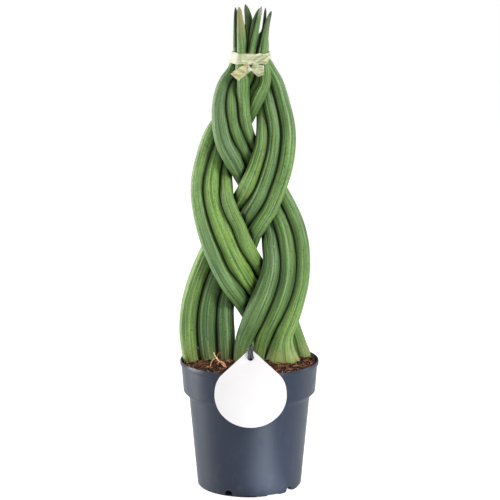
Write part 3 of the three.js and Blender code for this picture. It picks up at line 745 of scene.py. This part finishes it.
leaf_rods = {name: leaf_rod(name, number) for number, name in enumerate(LEAF_NAMES)}
press_leaves(leaf_rods)
for number, name in enumerate(LEAF_NAMES):
    finish_piece(leaf_rods[name][0], leaf_paint(name, number), "leaf", name)


# The pot: its outline is turned, and the gaps under its foot ring are cut

POT_PROFILE = [  # radius and height in millimetres, outside from the foot to the rim, then inside
    (43.4, 0.0), (44.6, 0.35), (45.2, 1.5), (52.3, 78.3), (52.9, 79.4), (56.9, 83.4), (57.2, 84.2),
    (58.85, 105.9), (59.1, 106.7), (59.75, 107.1), (60.0, 107.7), (60.0, 110.1), (59.7, 110.75),
    (59.2, 111.0), (58.7, 110.7), (57.6, 106.6), (55.8, 84.5), (51.0, 79.3), (43.9, 6.2),
    (42.4, 4.5), (0.0, 4.5), (0.0, 3.0), (40.0, 3.0), (40.9, 2.2), (41.1, 0.2), (41.5, 0.0),
]
POT_STEPS = 180
POT_SHARPEST = 32  # degrees between faces that still look round
# The gaps between the feet, and the drain notches: how many, their width and height in
# millimetres, and the first one's angle from the front in degrees
FOOT_GAPS = [(15, 12, 1.3, 3), (5, 7, 5.2, -23)]
# The blocks that cut them: their length and how far forward their middle is, in millimetres
CUTTER_LENGTH = 16
CUTTER_FORWARD = 43

POT_DEEP = (37, 45, 59)
POT_LIGHT = (47, 55, 71)
POT_COATS = {"dust": ((74, 80, 96), 1), "scuff": ((82, 88, 106), 0.14)}
DUSTY_FOOT = (0.006, 0.03)
TURNING_RINGS = 2100


def pot_paint():
    paint = Paint("pot_plastic", POT_COATS)
    place = paint.place()
    z = paint.split(place)[2]
    grain = paint.noise(place, scale=1500, detail=2)
    cloud = paint.noise(paint.stretched(place, (1, 1, 0.35)), scale=26, detail=3)
    dusty = paint.noise(place, scale=90, detail=4).between(0.5, 0.74)
    upright = paint.stretched(place, (1, 1, 0.06), shift=(2, 5, 0))
    scuffs = paint.noise(upright, scale=240, detail=2).between(0.64, 0.72)
    rings = (z * TURNING_RINGS).sine() * 0.5 + 0.5
    low = 1 - z.between(*DUSTY_FOOT)
    paint.ground(POT_DEEP, POT_LIGHT, cloud)
    paint.coat("dust", dusty * (0.12 + low * 0.25))
    paint.coat("scuff", scuffs)
    rough = 0.34 + cloud * 0.06 + dusty * 0.08 + scuffs * 0.1
    relief = grain * 0.6 + rings * 0.25
    turned = {"Anisotropic": 0.85, "Anisotropic_Rotation": 0.25}
    return paint.finished(rough, relief, strength=0.1, depth=0.3, shine=0.3, **turned)


def cutter(width, height, angle):
    """A block across the foot ring at an angle from the front, round at the top of its gap"""
    bpy.ops.mesh.primitive_cube_add(size=1)
    block = added("foot_cutter")
    size = [width, CUTTER_LENGTH, height + 1]
    move_points(block, (points_of(block) * size + [0, -CUTTER_FORWARD, (height - 1) / 2]) * MM)
    mesh = edit(block, "EDGE")
    top = (height - 0.001) * MM

    def runs_along_the_top(edge):
        one, other = (vertex.co for vertex in edge.verts)
        return min(one.z, other.z) > top and abs(one.y - other.y) > 0.01

    pick(mesh, mesh.edges, runs_along_the_top)
    bpy.ops.mesh.bevel(offset=min(0.45 * width, 0.8 * height) * MM, segments=5)
    done()
    block.data.transform(Matrix.Rotation(math.radians(angle), 4, "Z"))
    return block


def pot_shell():
    bpy.ops.mesh.primitive_circle_add(vertices=len(POT_PROFILE), radius=0.05)
    pot = added("pot_shell")
    move_points(pot, [(radius * MM, 0, height * MM) for radius, height in POT_PROFILE])
    edit(pot)
    bpy.ops.mesh.select_all(action="SELECT")
    bpy.ops.mesh.spin(steps=POT_STEPS, angle=math.tau, center=(0, 0, 0), axis=(0, 0, 1))
    merge_points()
    bpy.ops.mesh.dissolve_degenerate(threshold=SAME_POINT)
    turn_outwards()
    done()
    blocks = [
        cutter(width, height, first + i * 360 / count)
        for count, width, height, first in FOOT_GAPS
        for i in range(count)
    ]
    choose(*blocks)
    bpy.ops.object.join()
    block = blocks[0]
    modifier(pot, "BOOLEAN", operation="DIFFERENCE", object=block, solver="EXACT", use_self=True)
    bpy.data.objects.remove(block)
    smooth(pot, POT_SHARPEST)
    return finish_piece(pot, pot_paint(), "pot", "pot")


pot_shell()


# The soil: a lumpy bed with chips of bark, straws and a few old roots on it

SOIL_FACE = 0.1055
SOIL_REACH = 0.0568  # how far from the pot's middle the crumbs' middles lie
SOIL_EDGE = 0.0578  # how far from it their ends may lie
SOIL_RING = 3  # the ring of each leaf that stands at the soil's face
BED_VOXEL = 1.15 * MM
BED_LUMPS = 130
BED_CRUMBS = 330

SOIL_DEEP = (20, 11, 8)
SOIL_LIGHT = (92, 50, 32)
SOIL_COATS = {"chip": ((146, 88, 56), 0.7)}
CRUMB_COATS = {"dirt": ((30, 18, 12), 2.2)}

# Lengths and thicknesses of chips and straws in millimetres, and the limits of their turns about
# each axis. Their lift off the bed is in their own thicknesses.
CHIP_COUNT = 2600
CHIP_LENGTHS = [1.2, 1.6, 2.0, 2.6, 3.6]
CHIP_TURNS = [(-0.6, 0.6), (-0.6, 0.6), (0, 6.28)]
CHIP_LIFT = 0.3
CHIP_TINTS = [
    (40, 22, 15), (58, 31, 20), (84, 45, 27), (108, 58, 36), (140, 78, 46), (176, 108, 68),
    (196, 130, 88), (28, 16, 12), (20, 12, 10),
]
STRAW_COUNT = 300
STRAW_PARTS = 6
STRAW_LENGTHS = (3.5, 9)
STRAW_THICKNESS = (0.3, 0.6)
STRAW_TURNS = [(-0.4, 0.4), (-0.3, 0.3), (0, 6.28)]
STRAW_LIFT = 2.4
STRAW_TINTS = [(206, 154, 104), (226, 184, 134), (176, 108, 66), (140, 78, 46)]
CRUMB_UNEVEN = (0.75, 1.2)
CRUMB_SHADE = (0.26, 0.74)

# Old roots that curl up out of the soil: tint, then radius and middle line in millimetres
ROOTS = [
    ((236, 200, 150), 0.5, [(-30.3, -16, 120), (-29.4, -19, 118), (-27.6, -22, 116.1),
        (-25, -26, 114), (-21, -32, 111)]),
    ((150, 96, 60), 0.4, [(-26.8, -24, 112), (-27.4, -20, 117), (-26.9, -18, 118.9),
        (-25.2, -17, 120), (-23.5, -17, 119.2)]),
    ((206, 166, 110), 0.35, [(-28.5, -24, 117), (-31, -26, 115.8), (-32.6, -28, 113.6),
        (-33, -32, 110.5)]),
    ((204, 140, 108), 0.9, [(-26.5, -26, 112), (-24.4, -28, 114.6), (-21.8, -31, 113.8),
        (-19.6, -35, 110.5)]),
]
ROOT_SIDES = 8
ROOT_PARTS = (6, 4)


def soil_paint():
    paint = Paint("potting_soil", SOIL_COATS)
    place = paint.place()
    coarse = paint.noise(place, scale=190, detail=4, rough=0.6).between(0.32, 0.66)
    fine = paint.noise(place, scale=900, detail=3, rough=0.6)
    chips = 1 - paint.spots(place, 420).between(0.16, 0.3)
    paint.ground(SOIL_DEEP, SOIL_LIGHT, coarse * 0.7 + fine * 0.3)
    paint.coat("chip", chips * coarse)
    return paint.finished(0.9, fine + coarse * 0.6, strength=0.9, depth=1.2, shine=0.25)


def crumb_paint(name, rough):
    """For chips, straws and roots, each in a tint of its own that its mesh carries"""
    paint = Paint(name, CRUMB_COATS)
    fine = paint.noise(paint.place(), scale=1400, detail=3)
    paint.tone = paint.colour_of("tint")
    paint.coat("dirt", (fine - 0.45).at_least(0))
    return paint.finished(rough, fine, strength=0.6, depth=0.6, shine=0.3)


def soil_bed():
    bed = copy_of("soil", "soil_bed")
    modifier(bed, "REMESH", mode="VOXEL", voxel_size=BED_VOXEL)
    points = points_of(bed)
    facing_up = points_of(bed, "normal")[:, 2] > 0.3
    for i in np.nonzero((points[:, 2] > SOIL_FACE) & facing_up)[0]:
        place = Vector((*points[i][:2], 0))
        lumps = noise.noise(place * BED_LUMPS) * 1.5
        crumbs = noise.noise(place * BED_CRUMBS + Vector((9, 0, 0)))
        points[i][2] += (lumps + crumbs - 0.3) * MM
    move_points(bed, points)
    smooth(bed)
    return finish_piece(bed, soil_paint(), "soil", "soil")


def leaf_beside(x, y):
    """How far a place on the soil is from the nearest leaf, less than nothing under one"""
    gaps = []
    for _, _, rings in leaf_rods.values():
        middle, radius, wide = rings[SOIL_RING]
        gaps.append(math.hypot((x - middle.x) / max(wide, 1), y - middle.y) - radius)
    return min(gaps)


def scatter(name, template, ground, count, size_of, turns, lift, tints, seed, material):
    """Copies of one small shape strewn over the soil, each with its own size, turn and tint"""
    rng = random.Random(seed)
    shape = points_of(template)
    faces = [tuple(face.vertices) for face in template.data.polygons]
    points, all_faces, colours = [], [], []
    made = 0
    while made < count:
        reach = SOIL_REACH * math.sqrt(rng.random())
        turn = rng.uniform(0, math.tau)
        x, y = reach * math.cos(turn), reach * math.sin(turn)
        size = size_of(rng)
        if leaf_beside(x, y) < 0.2 * size[0] or reach + 0.5 * size[0] > SOIL_EDGE:
            continue
        hit = ground.ray_cast(Vector((x, y, 0.13)), Vector((0, 0, -1)))[0]
        if hit is None or hit.z < SOIL_FACE - 3 * MM:
            continue
        spin = Euler([rng.uniform(*limits) for limits in turns]).to_matrix()
        place = Matrix.Translation(hit + Vector((0, 0, lift * size[2])))
        matrix = np.array(place @ spin.to_4x4() @ Matrix.Diagonal((*size, 1)))
        uneven = np.array([[rng.uniform(*CRUMB_UNEVEN)] * 3 for _ in shape])
        start = len(points)
        points.extend((shape * uneven) @ matrix[:3, :3].T + matrix[:3, 3])
        all_faces.extend(tuple(start + v for v in face) for face in faces)
        shade = rng.uniform(*CRUMB_SHADE)
        tint = [part * shade for part in linear(rng.choice(tints))[:3]]
        colours.extend([[*tint, 1.0]] * len(shape))
        made += 1
    mesh = bpy.data.meshes.new(name)
    mesh.from_pydata([tuple(p) for p in points], [], all_faces)
    carry_tint(mesh, colours)
    bpy.data.objects.remove(template)
    return finish_piece(linked(name, mesh), material, "soil")


def soil_chips(ground):
    bpy.ops.mesh.primitive_ico_sphere_add(subdivisions=1, radius=0.5)
    chip = added("chip")

    def size_of(rng):
        long = rng.choice(CHIP_LENGTHS) * rng.uniform(0.7, 1.2) * MM
        return (long, long * rng.uniform(0.45, 0.8), long * rng.uniform(0.3, 0.6))

    lying = (CHIP_COUNT, size_of, CHIP_TURNS, CHIP_LIFT, CHIP_TINTS)
    bark = crumb_paint("bark_chips", 0.85)
    return scatter("soil_chips", chip, ground, *lying, seed=11, material=bark)


def soil_straws(ground):
    """Thin fibres, bowed a little, lying over the soil"""
    bpy.ops.mesh.primitive_cube_add(size=1)
    straw = added("straw")
    cut_across(straw, STRAW_PARTS, 0.5)
    points = points_of(straw)
    points[:, 2] -= 6 * points[:, 0] ** 2
    points[:, 1] += 5 * points[:, 0] ** 2 * np.sign(points[:, 0])
    move_points(straw, points)

    def size_of(rng):
        long = rng.uniform(*STRAW_LENGTHS) * MM
        thick = rng.uniform(*STRAW_THICKNESS) * MM
        return (long, thick, thick * 0.8)

    lying = (STRAW_COUNT, size_of, STRAW_TURNS, STRAW_LIFT, STRAW_TINTS)
    dry = crumb_paint("straw", 0.7)
    return scatter("soil_straws", straw, ground, *lying, seed=23, material=dry)


def old_root(number, tint, radius, line):
    name = f"old_root_{number}"
    curve, length = curve_through("root_line", [Vector(p) * MM for p in line], [1] * len(line))
    root = straight_rod(name, length, radius * MM, ROOT_SIDES, ROOT_PARTS, "bark")
    bend_along(root, curve)
    smooth(root)
    carry_tint(root.data, [linear(tint)] * len(root.data.vertices))
    return finish_piece(root, crumb_paint(name, 0.7), "soil")


ground = BVHTree.FromObject(soil_bed(), bpy.context.evaluated_depsgraph_get())
soil_chips(ground)
soil_straws(ground)
for number, root in enumerate(ROOTS, 1):
    old_root(number, *root)


# The raffia tie: the CAD band, knot and tails, pleated and creased

# In millimetres, across, forward or up
TIE_VOXEL = 0.36
KNOT = (0.0, 361.6)
KNOT_RADII = (1.1, 2.0)
BAND_RADII = (6, 9)  # the creases fade in between these, out from the bundle's middle
TAIL_TOPS = (365.4, 366.6)
GATHERED = (1, 6)  # where the band begins to gather at the right
# How deep the band's pleats, its gathered folds and the tails' curls are, and how many radians of
# each wave go into a millimetre
PLEAT_DEPTH, PLEAT_WAVES = 0.13, 2.6
FOLD_DEPTH, FOLD_WAVES = 0.3, 1.5
CURL_DEPTH, CURL_WAVES = 0.25, 1.25

RAFFIA_DEEP = (166, 172, 126)
RAFFIA_LIGHT = (220, 222, 192)
RAFFIA_COATS = {
    # painted light on the band's left end
    "lit_end": ((190, 190, 172), 0.85),
    "green": ((150, 166, 112), 0.55),
    "straw": ((204, 192, 134), 1),
    "stain": ((120, 112, 66), 0.6),
    "fold_shade": ((108, 112, 70), 0.6),
    "knot": ((206, 206, 192), 1),
}
# In metres: where the tails' colour ends, where the band's paler left end does, which is painted
# light for the lamp at its left, and the middle and reach of a green streak beside it
PAINTED_TAIL_TOPS = (0.3655, 0.3670)
LIT_END = (-0.0100, -0.0082)
GREEN_STREAK = (-0.0076, 0.0018)
LEFT_TAIL_SLOPE = math.radians(-33)


def raffia_paint():
    paint = Paint("raffia_ribbon", RAFFIA_COATS)
    place = paint.place()
    x, y, z = paint.split(place)
    tails = 1 - z.between(*PAINTED_TAIL_TOPS)
    band = 1 - tails
    left = 1 - x.between(-0.002, 0.001)
    level = paint.vector(x * 60, y * 60, z * 1600)
    sloping = paint.stretched(place, (60, 60, 1600), turn=(0, LEFT_TAIL_SLOPE, 0))
    fibres_round = paint.noise(level, scale=1, detail=3).between(0.3, 0.7)
    fibres_down = paint.noise(sloping, scale=1, detail=3).between(0.3, 0.7)
    fibres = fibres_round * band + fibres_down * tails
    blotch = paint.noise(place, scale=260, detail=3).between(0.38, 0.66)
    paint.ground(RAFFIA_DEEP, RAFFIA_LIGHT, fibres * 0.6 + blotch * 0.35)
    # Painted light: the band's left end paler, where the lamp at the left falls on it
    paint.coat("lit_end", (1 - x.between(*LIT_END)) * band)
    paint.coat("green", x.around(*GREEN_STREAK) * band)
    paint.coat("straw", tails * left * (0.35 + blotch * 0.45))
    paint.coat("stain", tails * (1 - blotch) * (1 - fibres))
    # Painted shade in the hollows of the band's pleats and folds and the tails' curls
    paint.coat("fold_shade", paint.share_of("fold_shade"))
    paint.coat("knot", paint.share_of("knot"))
    return paint.finished(0.42 + fibres * 0.16, fibres, strength=0.6, depth=0.5, shine=0.4)


def raffia():
    tie = copy_of("raffia_tie", "raffia_ribbon")
    modifier(tie, "REMESH", mode="VOXEL", voxel_size=TIE_VOXEL * MM)
    modifier(tie, "SMOOTH", factor=0.5, iterations=2)
    points = points_of(tie)
    normals = points_of(tie, "normal")
    x, y, z = points.T / MM
    front = step(-y, 0, 6)
    tail = (1 - step(z, *TAIL_TOPS)) * front
    gather = step(x, *GATHERED) * front * (1 - tail)
    drift = 0.6 * np.sin(x * 0.31 + 1) + 0.5 * np.sin(x * 0.13 + y * 0.17)
    pleats = np.sin(PLEAT_WAVES * (z + drift)) * (1 - tail)
    folds = np.sin(FOLD_WAVES * (x * 0.62 - (z - 366))) * gather
    over_left_tail = x * 0.5 + (z - 358) * 0.86
    over_right_tail = x * 0.3 - (z - 358) * 0.5
    over_tail = np.where(step(x, -1, 1) < 0.5, over_left_tail, over_right_tail)
    curls = np.sin(CURL_WAVES * over_tail + 0.6) * tail
    knot = (1 - step(np.hypot(x - KNOT[0], z - KNOT[1]), *KNOT_RADII)) * front
    amount = PLEAT_DEPTH * pleats * (1 - gather) + FOLD_DEPTH * folds + CURL_DEPTH * curls
    amount *= (1 - knot) * step(np.hypot(x, y), *BAND_RADII)
    move_points(tie, points + normals * amount[:, None] * MM)
    smooth(tie)
    # Painted shade in the hollows of the folds, curls and pleats
    waves = ((folds, 0.8), (curls, 0.5), (pleats, 0.3))
    hollow_shade = sum(np.clip(-wave, 0, 1) * dark for wave, dark in waves)
    carry(tie, "fold_shade", np.clip(hollow_shade, 0, 1))
    carry(tie, "knot", knot)
    return finish_piece(tie, raffia_paint(), "raffia", "raffia_tie")


raffia()


# The tag: a card with its edge rounded over, and the hole for the cord

# In millimetres. Half widths, the drop and the rises count from the card's middle where it is
# widest.
TAG_ACROSS = 1.0
TAG_WIDEST_HEIGHT = 94.2
TAG_HALF_WIDTH = 30.1
TAG_DROP = 27.6
TAG_CORNER_RISE = 11.5
TAG_SHOULDER = (23.7, 17.5)
TAG_PEAK = 39.4
TAG_POINT_HALF_WIDTH = 3.4
TAG_THICKNESS = 0.9
TAG_LEAN = math.radians(3)
TAG_HOLE_RADIUS = 2.7
TAG_HOLE_HEIGHT = 126
RIM_FORWARD, RIM_HEIGHT = 60.4, 108.75  # where the card's back passes the pot's rim
TAG_BACK = RIM_FORWARD + (RIM_HEIGHT - TAG_WIDEST_HEIGHT) * math.tan(TAG_LEAN)
TAG_BEVEL = 0.15
TAG_SHARPEST = 35  # degrees between faces that still look round
CORNER_STEPS = 14
BOWL_STEPS = 60
HOLE_STEPS = 48

CARD_DEEP = (220, 217, 218)
CARD_LIGHT = (232, 230, 230)
# edge: painted shade along the card's rounded edge
CARD_COATS = {"edge": ((150, 142, 146), 0.8)}


def card_paint():
    paint = Paint("white_card", CARD_COATS)
    place = paint.place()
    fibre = paint.noise(place, scale=1100, detail=4, rough=0.6)
    cloud = paint.noise(place, scale=45, detail=2)
    paint.ground(CARD_DEEP, CARD_LIGHT, cloud * 0.6 + fibre * 0.4)
    # Painted shade along the card's edge
    paint.coat("edge", paint.share_of("edge"))
    return paint.finished(0.5 + fibre * 0.1, fibre, strength=0.15, depth=0.3, shine=0.3)


def round_corner(start, corner, end):
    """Points of a corner that is rounded from its start to its end"""
    start, corner, end = (np.array(p, float) for p in (start, corner, end))
    parts = [i / CORNER_STEPS for i in range(CORNER_STEPS + 1)]
    return [(1 - t) ** 2 * start + 2 * t * (1 - t) * corner + t * t * end for t in parts]


def tag_outline():
    side, shoulder = TAG_SHOULDER
    point = TAG_PEAK - (TAG_PEAK - shoulder) * TAG_POINT_HALF_WIDTH / side
    turns = [math.pi * (1 + i / BOWL_STEPS) for i in range(BOWL_STEPS + 1)]
    bowl = [(TAG_HALF_WIDTH * math.cos(a), TAG_DROP * math.sin(a)) for a in turns]
    right = round_corner((TAG_HALF_WIDTH, 0), (TAG_HALF_WIDTH, TAG_CORNER_RISE), TAG_SHOULDER)
    top = round_corner((TAG_POINT_HALF_WIDTH, point), (0, TAG_PEAK), (-TAG_POINT_HALF_WIDTH, point))
    left = [(-x, y) for x, y in reversed(right)]
    return [*bowl, *right[1:], *top, *left[:-1]]


def tag_hole():
    rise = TAG_HOLE_HEIGHT - TAG_WIDEST_HEIGHT
    turns = [math.tau * i / HOLE_STEPS for i in range(HOLE_STEPS)]
    return [(TAG_HOLE_RADIUS * math.cos(a), rise - TAG_HOLE_RADIUS * math.sin(a)) for a in turns]


def tag_card():
    data = bpy.data.curves.new("tag_card", "CURVE")
    data.dimensions = "2D"
    data.fill_mode = "BOTH"
    data.extrude = (TAG_THICKNESS / 2 - TAG_BEVEL) * MM
    data.bevel_depth = TAG_BEVEL * MM
    data.bevel_resolution = 2
    data.offset = -TAG_BEVEL * MM
    for outline in (tag_outline(), tag_hole()):
        spline = data.splines.new("POLY")
        spline.points.add(len(outline) - 1)
        for knot, (across, up) in zip(spline.points, outline):
            knot.co = (across * MM, up * MM, 0, 1)
        spline.use_cyclic_u = True
    choose(linked("tag_card", data))
    bpy.ops.object.convert(target="MESH")
    card = bpy.context.object
    lean = Matrix.Rotation(math.pi / 2 - TAG_LEAN, 4, "X")
    forward = TAG_BACK + 0.5 * TAG_THICKNESS
    place = Matrix.Translation(Vector((TAG_ACROSS, -forward, TAG_WIDEST_HEIGHT)) * MM)
    card.data.transform(place @ lean)
    edit(card)
    merge_points()
    turn_outwards()
    done()
    # Each face's share of painted shade, more the further it turns from the card's front
    facing = lean.to_3x3() @ Vector((0, 0, 1))
    sides = [1 - abs(face.normal.dot(facing)) for face in card.data.polygons]
    carry(card, "edge", sides, "FACE")
    smooth(card, TAG_SHARPEST)
    return finish_piece(card, card_paint(), "card", "tag")


tag_card()


# The cord: one closed loop of round braided elastic

CORD_RADIUS = 1.0  # millimetres
CORD_SIDES = 12
CORD_PARTS = (21, 20)
CORD_THREADS = 3
CORD_WINDS = 230
CORD_DEEP = (18, 18, 21)
CORD_LIGHT = (78, 80, 86)
ROUTE_STEPS = 16
CORD_ROUTE = [  # its middle line in millimetres, hitched behind the tag and looped round a leaf
    (4.4, -52.7, 128.4), (4.8, -55.6, 126.8), (3.3, -57.9, 126.4), (2.3, -60.0, 125.7),
    (2.2, -61.7, 127.2), (2.2, -61.7, 131.2), (2.3, -59.8, 133.7), (2.3, -55.9, 132.7),
    (2.3, -51.1, 127.0), (2.3, -40.0, 121.4), (1.4, -20.9, 118.9), (1.0, -8.9, 118.7),
    (4.1, 3.8, 117.4), (1.2, 9.9, 117.7), (4.6, 16.5, 118.0), (9.3, 18.0, 116.2),
    (13.9, 16.5, 116.4), (17.3, 10.0, 116.7), (14.4, 3.8, 117.0), (9.2, 1.9, 117.2),
    (0.0, -10.0, 115.7), (0.1, -21.0, 116.5), (-0.2, -40.0, 120.6), (-0.3, -51.1, 127.0),
    (-0.3, -55.9, 132.7), (-0.3, -59.8, 133.7), (-0.2, -61.7, 131.2), (-0.2, -61.7, 127.2),
    (-0.3, -60.0, 125.7), (-1.3, -57.9, 126.4), (-2.8, -55.6, 126.8), (-2.4, -52.7, 128.4),
    (1.0, -51.3, 129.9),
]


def cord_paint():
    """Two sets of threads wound opposite ways"""
    paint = Paint("black_elastic")
    around, along, _ = paint.split(paint.uv("braid"))
    turns = around * math.tau * CORD_THREADS
    winds = along * CORD_WINDS
    one, other = ((way.sine() * 0.5 + 0.5) ** 2 for way in (turns + winds, turns - winds))
    weave = one.at_least(other)
    paint.ground(CORD_DEEP, CORD_LIGHT, weave)
    return paint.finished(0.6, weave, strength=0.6, depth=0.4, shine=0.5)


def rounded_route():
    """The closed smooth line through the cord's points, as closely spaced points"""
    knots = [Vector(p) * MM for p in CORD_ROUTE]
    count = len(knots)
    line = []
    for i in range(count):
        a, b, c, d = (knots[(i + k) % count] for k in (-1, 0, 1, 2))
        ab, bc, cd = ((q - p).length ** 0.5 for p, q in ((a, b), (b, c), (c, d)))
        leave = ((b - a) / ab - (c - a) / (ab + bc) + (c - b) / bc) * bc
        arrive = ((c - b) / bc - (d - b) / (bc + cd) + (d - c) / cd) * bc
        for k in range(ROUTE_STEPS):
            t = k / ROUTE_STEPS
            line.append(
                b * (2 * t**3 - 3 * t**2 + 1)
                + leave * (t**3 - 2 * t**2 + t)
                + c * (3 * t**2 - 2 * t**3)
                + arrive * (t**3 - t**2)
            )
    return line


def tag_cord():
    line = rounded_route()
    radii = [1] * len(line)
    curve, length = curve_through("cord_line", line, radii, closed=True, rounded=False)
    radius = CORD_RADIUS * MM
    cord = straight_rod("elastic_cord", length, radius, CORD_SIDES, CORD_PARTS, "braid")
    mesh = edit(cord, "FACE")
    pick(mesh, mesh.faces, lambda f: len(f.verts) > 4)
    bpy.ops.mesh.delete(type="FACE")
    done()
    bend_along(cord, curve)
    edit(cord)
    merge_points(0.05 * MM)
    turn_outwards()
    done()
    smooth(cord)
    return finish_piece(cord, cord_paint(), "cord", "tag_cord")


tag_cord()


# The studio: a wide white floor, a pale sky and soft lamps

FLOOR_SIZE = 60
FLOOR_GREY = (0.35, 0.35, 0.35, 1)
GLOW_STRENGTH = 5
NO_GLOW = (0, 0, 0, 1)
DIM_GLOW = (0.09, 0.09, 0.09, 1)
WINDOW_GLOW = (0.88, 0.95, 1, 1)
SEEN_GLOW = (0.185, 0.185, 0.185, 1)  # how bright the floor is to the camera, just about white
POT_SHADOW = (0.0435, 0.0458)  # radii between which the dark floor under the pot ends
SHADOW_RIGHT = (0.005, 0.012)  # and where it ends across, so that light shows in the notches
# The bright patch ahead, which the pot's highlight is a reflection of: its direction from the pot,
# its middle and reach across that, and where it lies along it
AHEAD = (0.588, -0.809)
PATCH_ACROSS = (-0.018, 0.045)
PATCH_ALONG = (0.04, 0.06, 0.2, 0.4)
# The bright patch at the left: its middle and reach on each axis, and its strength
LEFT_PATCH_X = (-0.42, 0.2)
LEFT_PATCH_Y = (0.05, 0.25)
LEFT_PATCH_STRENGTH = 0.85

WHITE = (1, 1, 1, 1)
SKY_STRENGTH = 0.235
LAMPS = [  # name, place, width and height, and watts
    ("key_lamp", (-1.2, -1.25, 1.0), (0.6, 0.7), 3),
    ("front_lamp", (1.15, -1.0, 0.9), (0.5, 0.5), 23),
    ("left_softbox", (-1.5, 0.35, 0.5), (0.8, 1.5), 45),
    ("top_softbox", (0.0, -0.3, 1.6), (1.2, 1.2), 9),
    ("right_softbox", (1.4, 0.4, 0.6), (0.5, 1.2), 6),
]
LAMPS_AIM = Vector((0, 0, 0.2))


def floor_paint():
    paint = Paint("pale_floor")
    x, y, _ = paint.split(paint.place())
    clear = (x * x + y * y).between(POT_SHADOW[0] ** 2, POT_SHADOW[1] ** 2)
    clear = clear.at_least(x.between(*SHADOW_RIGHT))
    across = x * -AHEAD[1] + y * AHEAD[0]
    along = x * AHEAD[0] + y * AHEAD[1]
    ahead = across.around(*PATCH_ACROSS) * along.window(*PATCH_ALONG)
    left = x.around(*LEFT_PATCH_X) * y.around(*LEFT_PATCH_Y) * LEFT_PATCH_STRENGTH
    glow = paint.mix(DIM_GLOW, WINDOW_GLOW, ahead.at_least(left))
    in_sight = paint.node("ShaderNodeLightPath")
    glow = paint.mix(glow, SEEN_GLOW, in_sight)
    return paint.surface(
        Base_Color=FLOOR_GREY,
        Roughness=0.8,
        Specular_IOR_Level=0.1,
        Emission_Color=paint.mix(NO_GLOW, glow, clear),
        Emission_Strength=GLOW_STRENGTH,
    )


def add_floor():
    bpy.ops.mesh.primitive_plane_add(size=FLOOR_SIZE)
    floor = added("floor")
    floor.data.materials.append(floor_paint())


def add_sky():
    """A dim sky that the camera sees as white"""
    world = bpy.data.worlds.new("studio")
    world.use_nodes = True
    nodes, links = world.node_tree.nodes, world.node_tree.links
    sky = nodes["Background"]
    sky.inputs["Color"].default_value = WHITE
    sky.inputs["Strength"].default_value = SKY_STRENGTH
    seen = nodes.new("ShaderNodeBackground")
    seen.inputs["Color"].default_value = WHITE
    either = nodes.new("ShaderNodeMixShader")
    links.new(nodes.new("ShaderNodeLightPath").outputs["Is Camera Ray"], either.inputs[0])
    links.new(sky.outputs[0], either.inputs[1])
    links.new(seen.outputs[0], either.inputs[2])
    links.new(either.outputs[0], nodes["World Output"].inputs["Surface"])
    bpy.context.scene.world = world


def add_lamps():
    for name, place, size, watts in LAMPS:
        bpy.ops.object.light_add(type="AREA", location=place)
        lamp = bpy.context.object
        lamp.name = name
        lamp.data.shape = "RECTANGLE"
        lamp.data.size, lamp.data.size_y = size
        lamp.data.energy = watts
        aim = LAMPS_AIM - Vector(place)
        lamp.rotation_euler = aim.to_track_quat("-Z", "Y").to_euler()


add_floor()
add_sky()
add_lamps()
bpy.context.scene.view_settings.view_transform = "Standard"
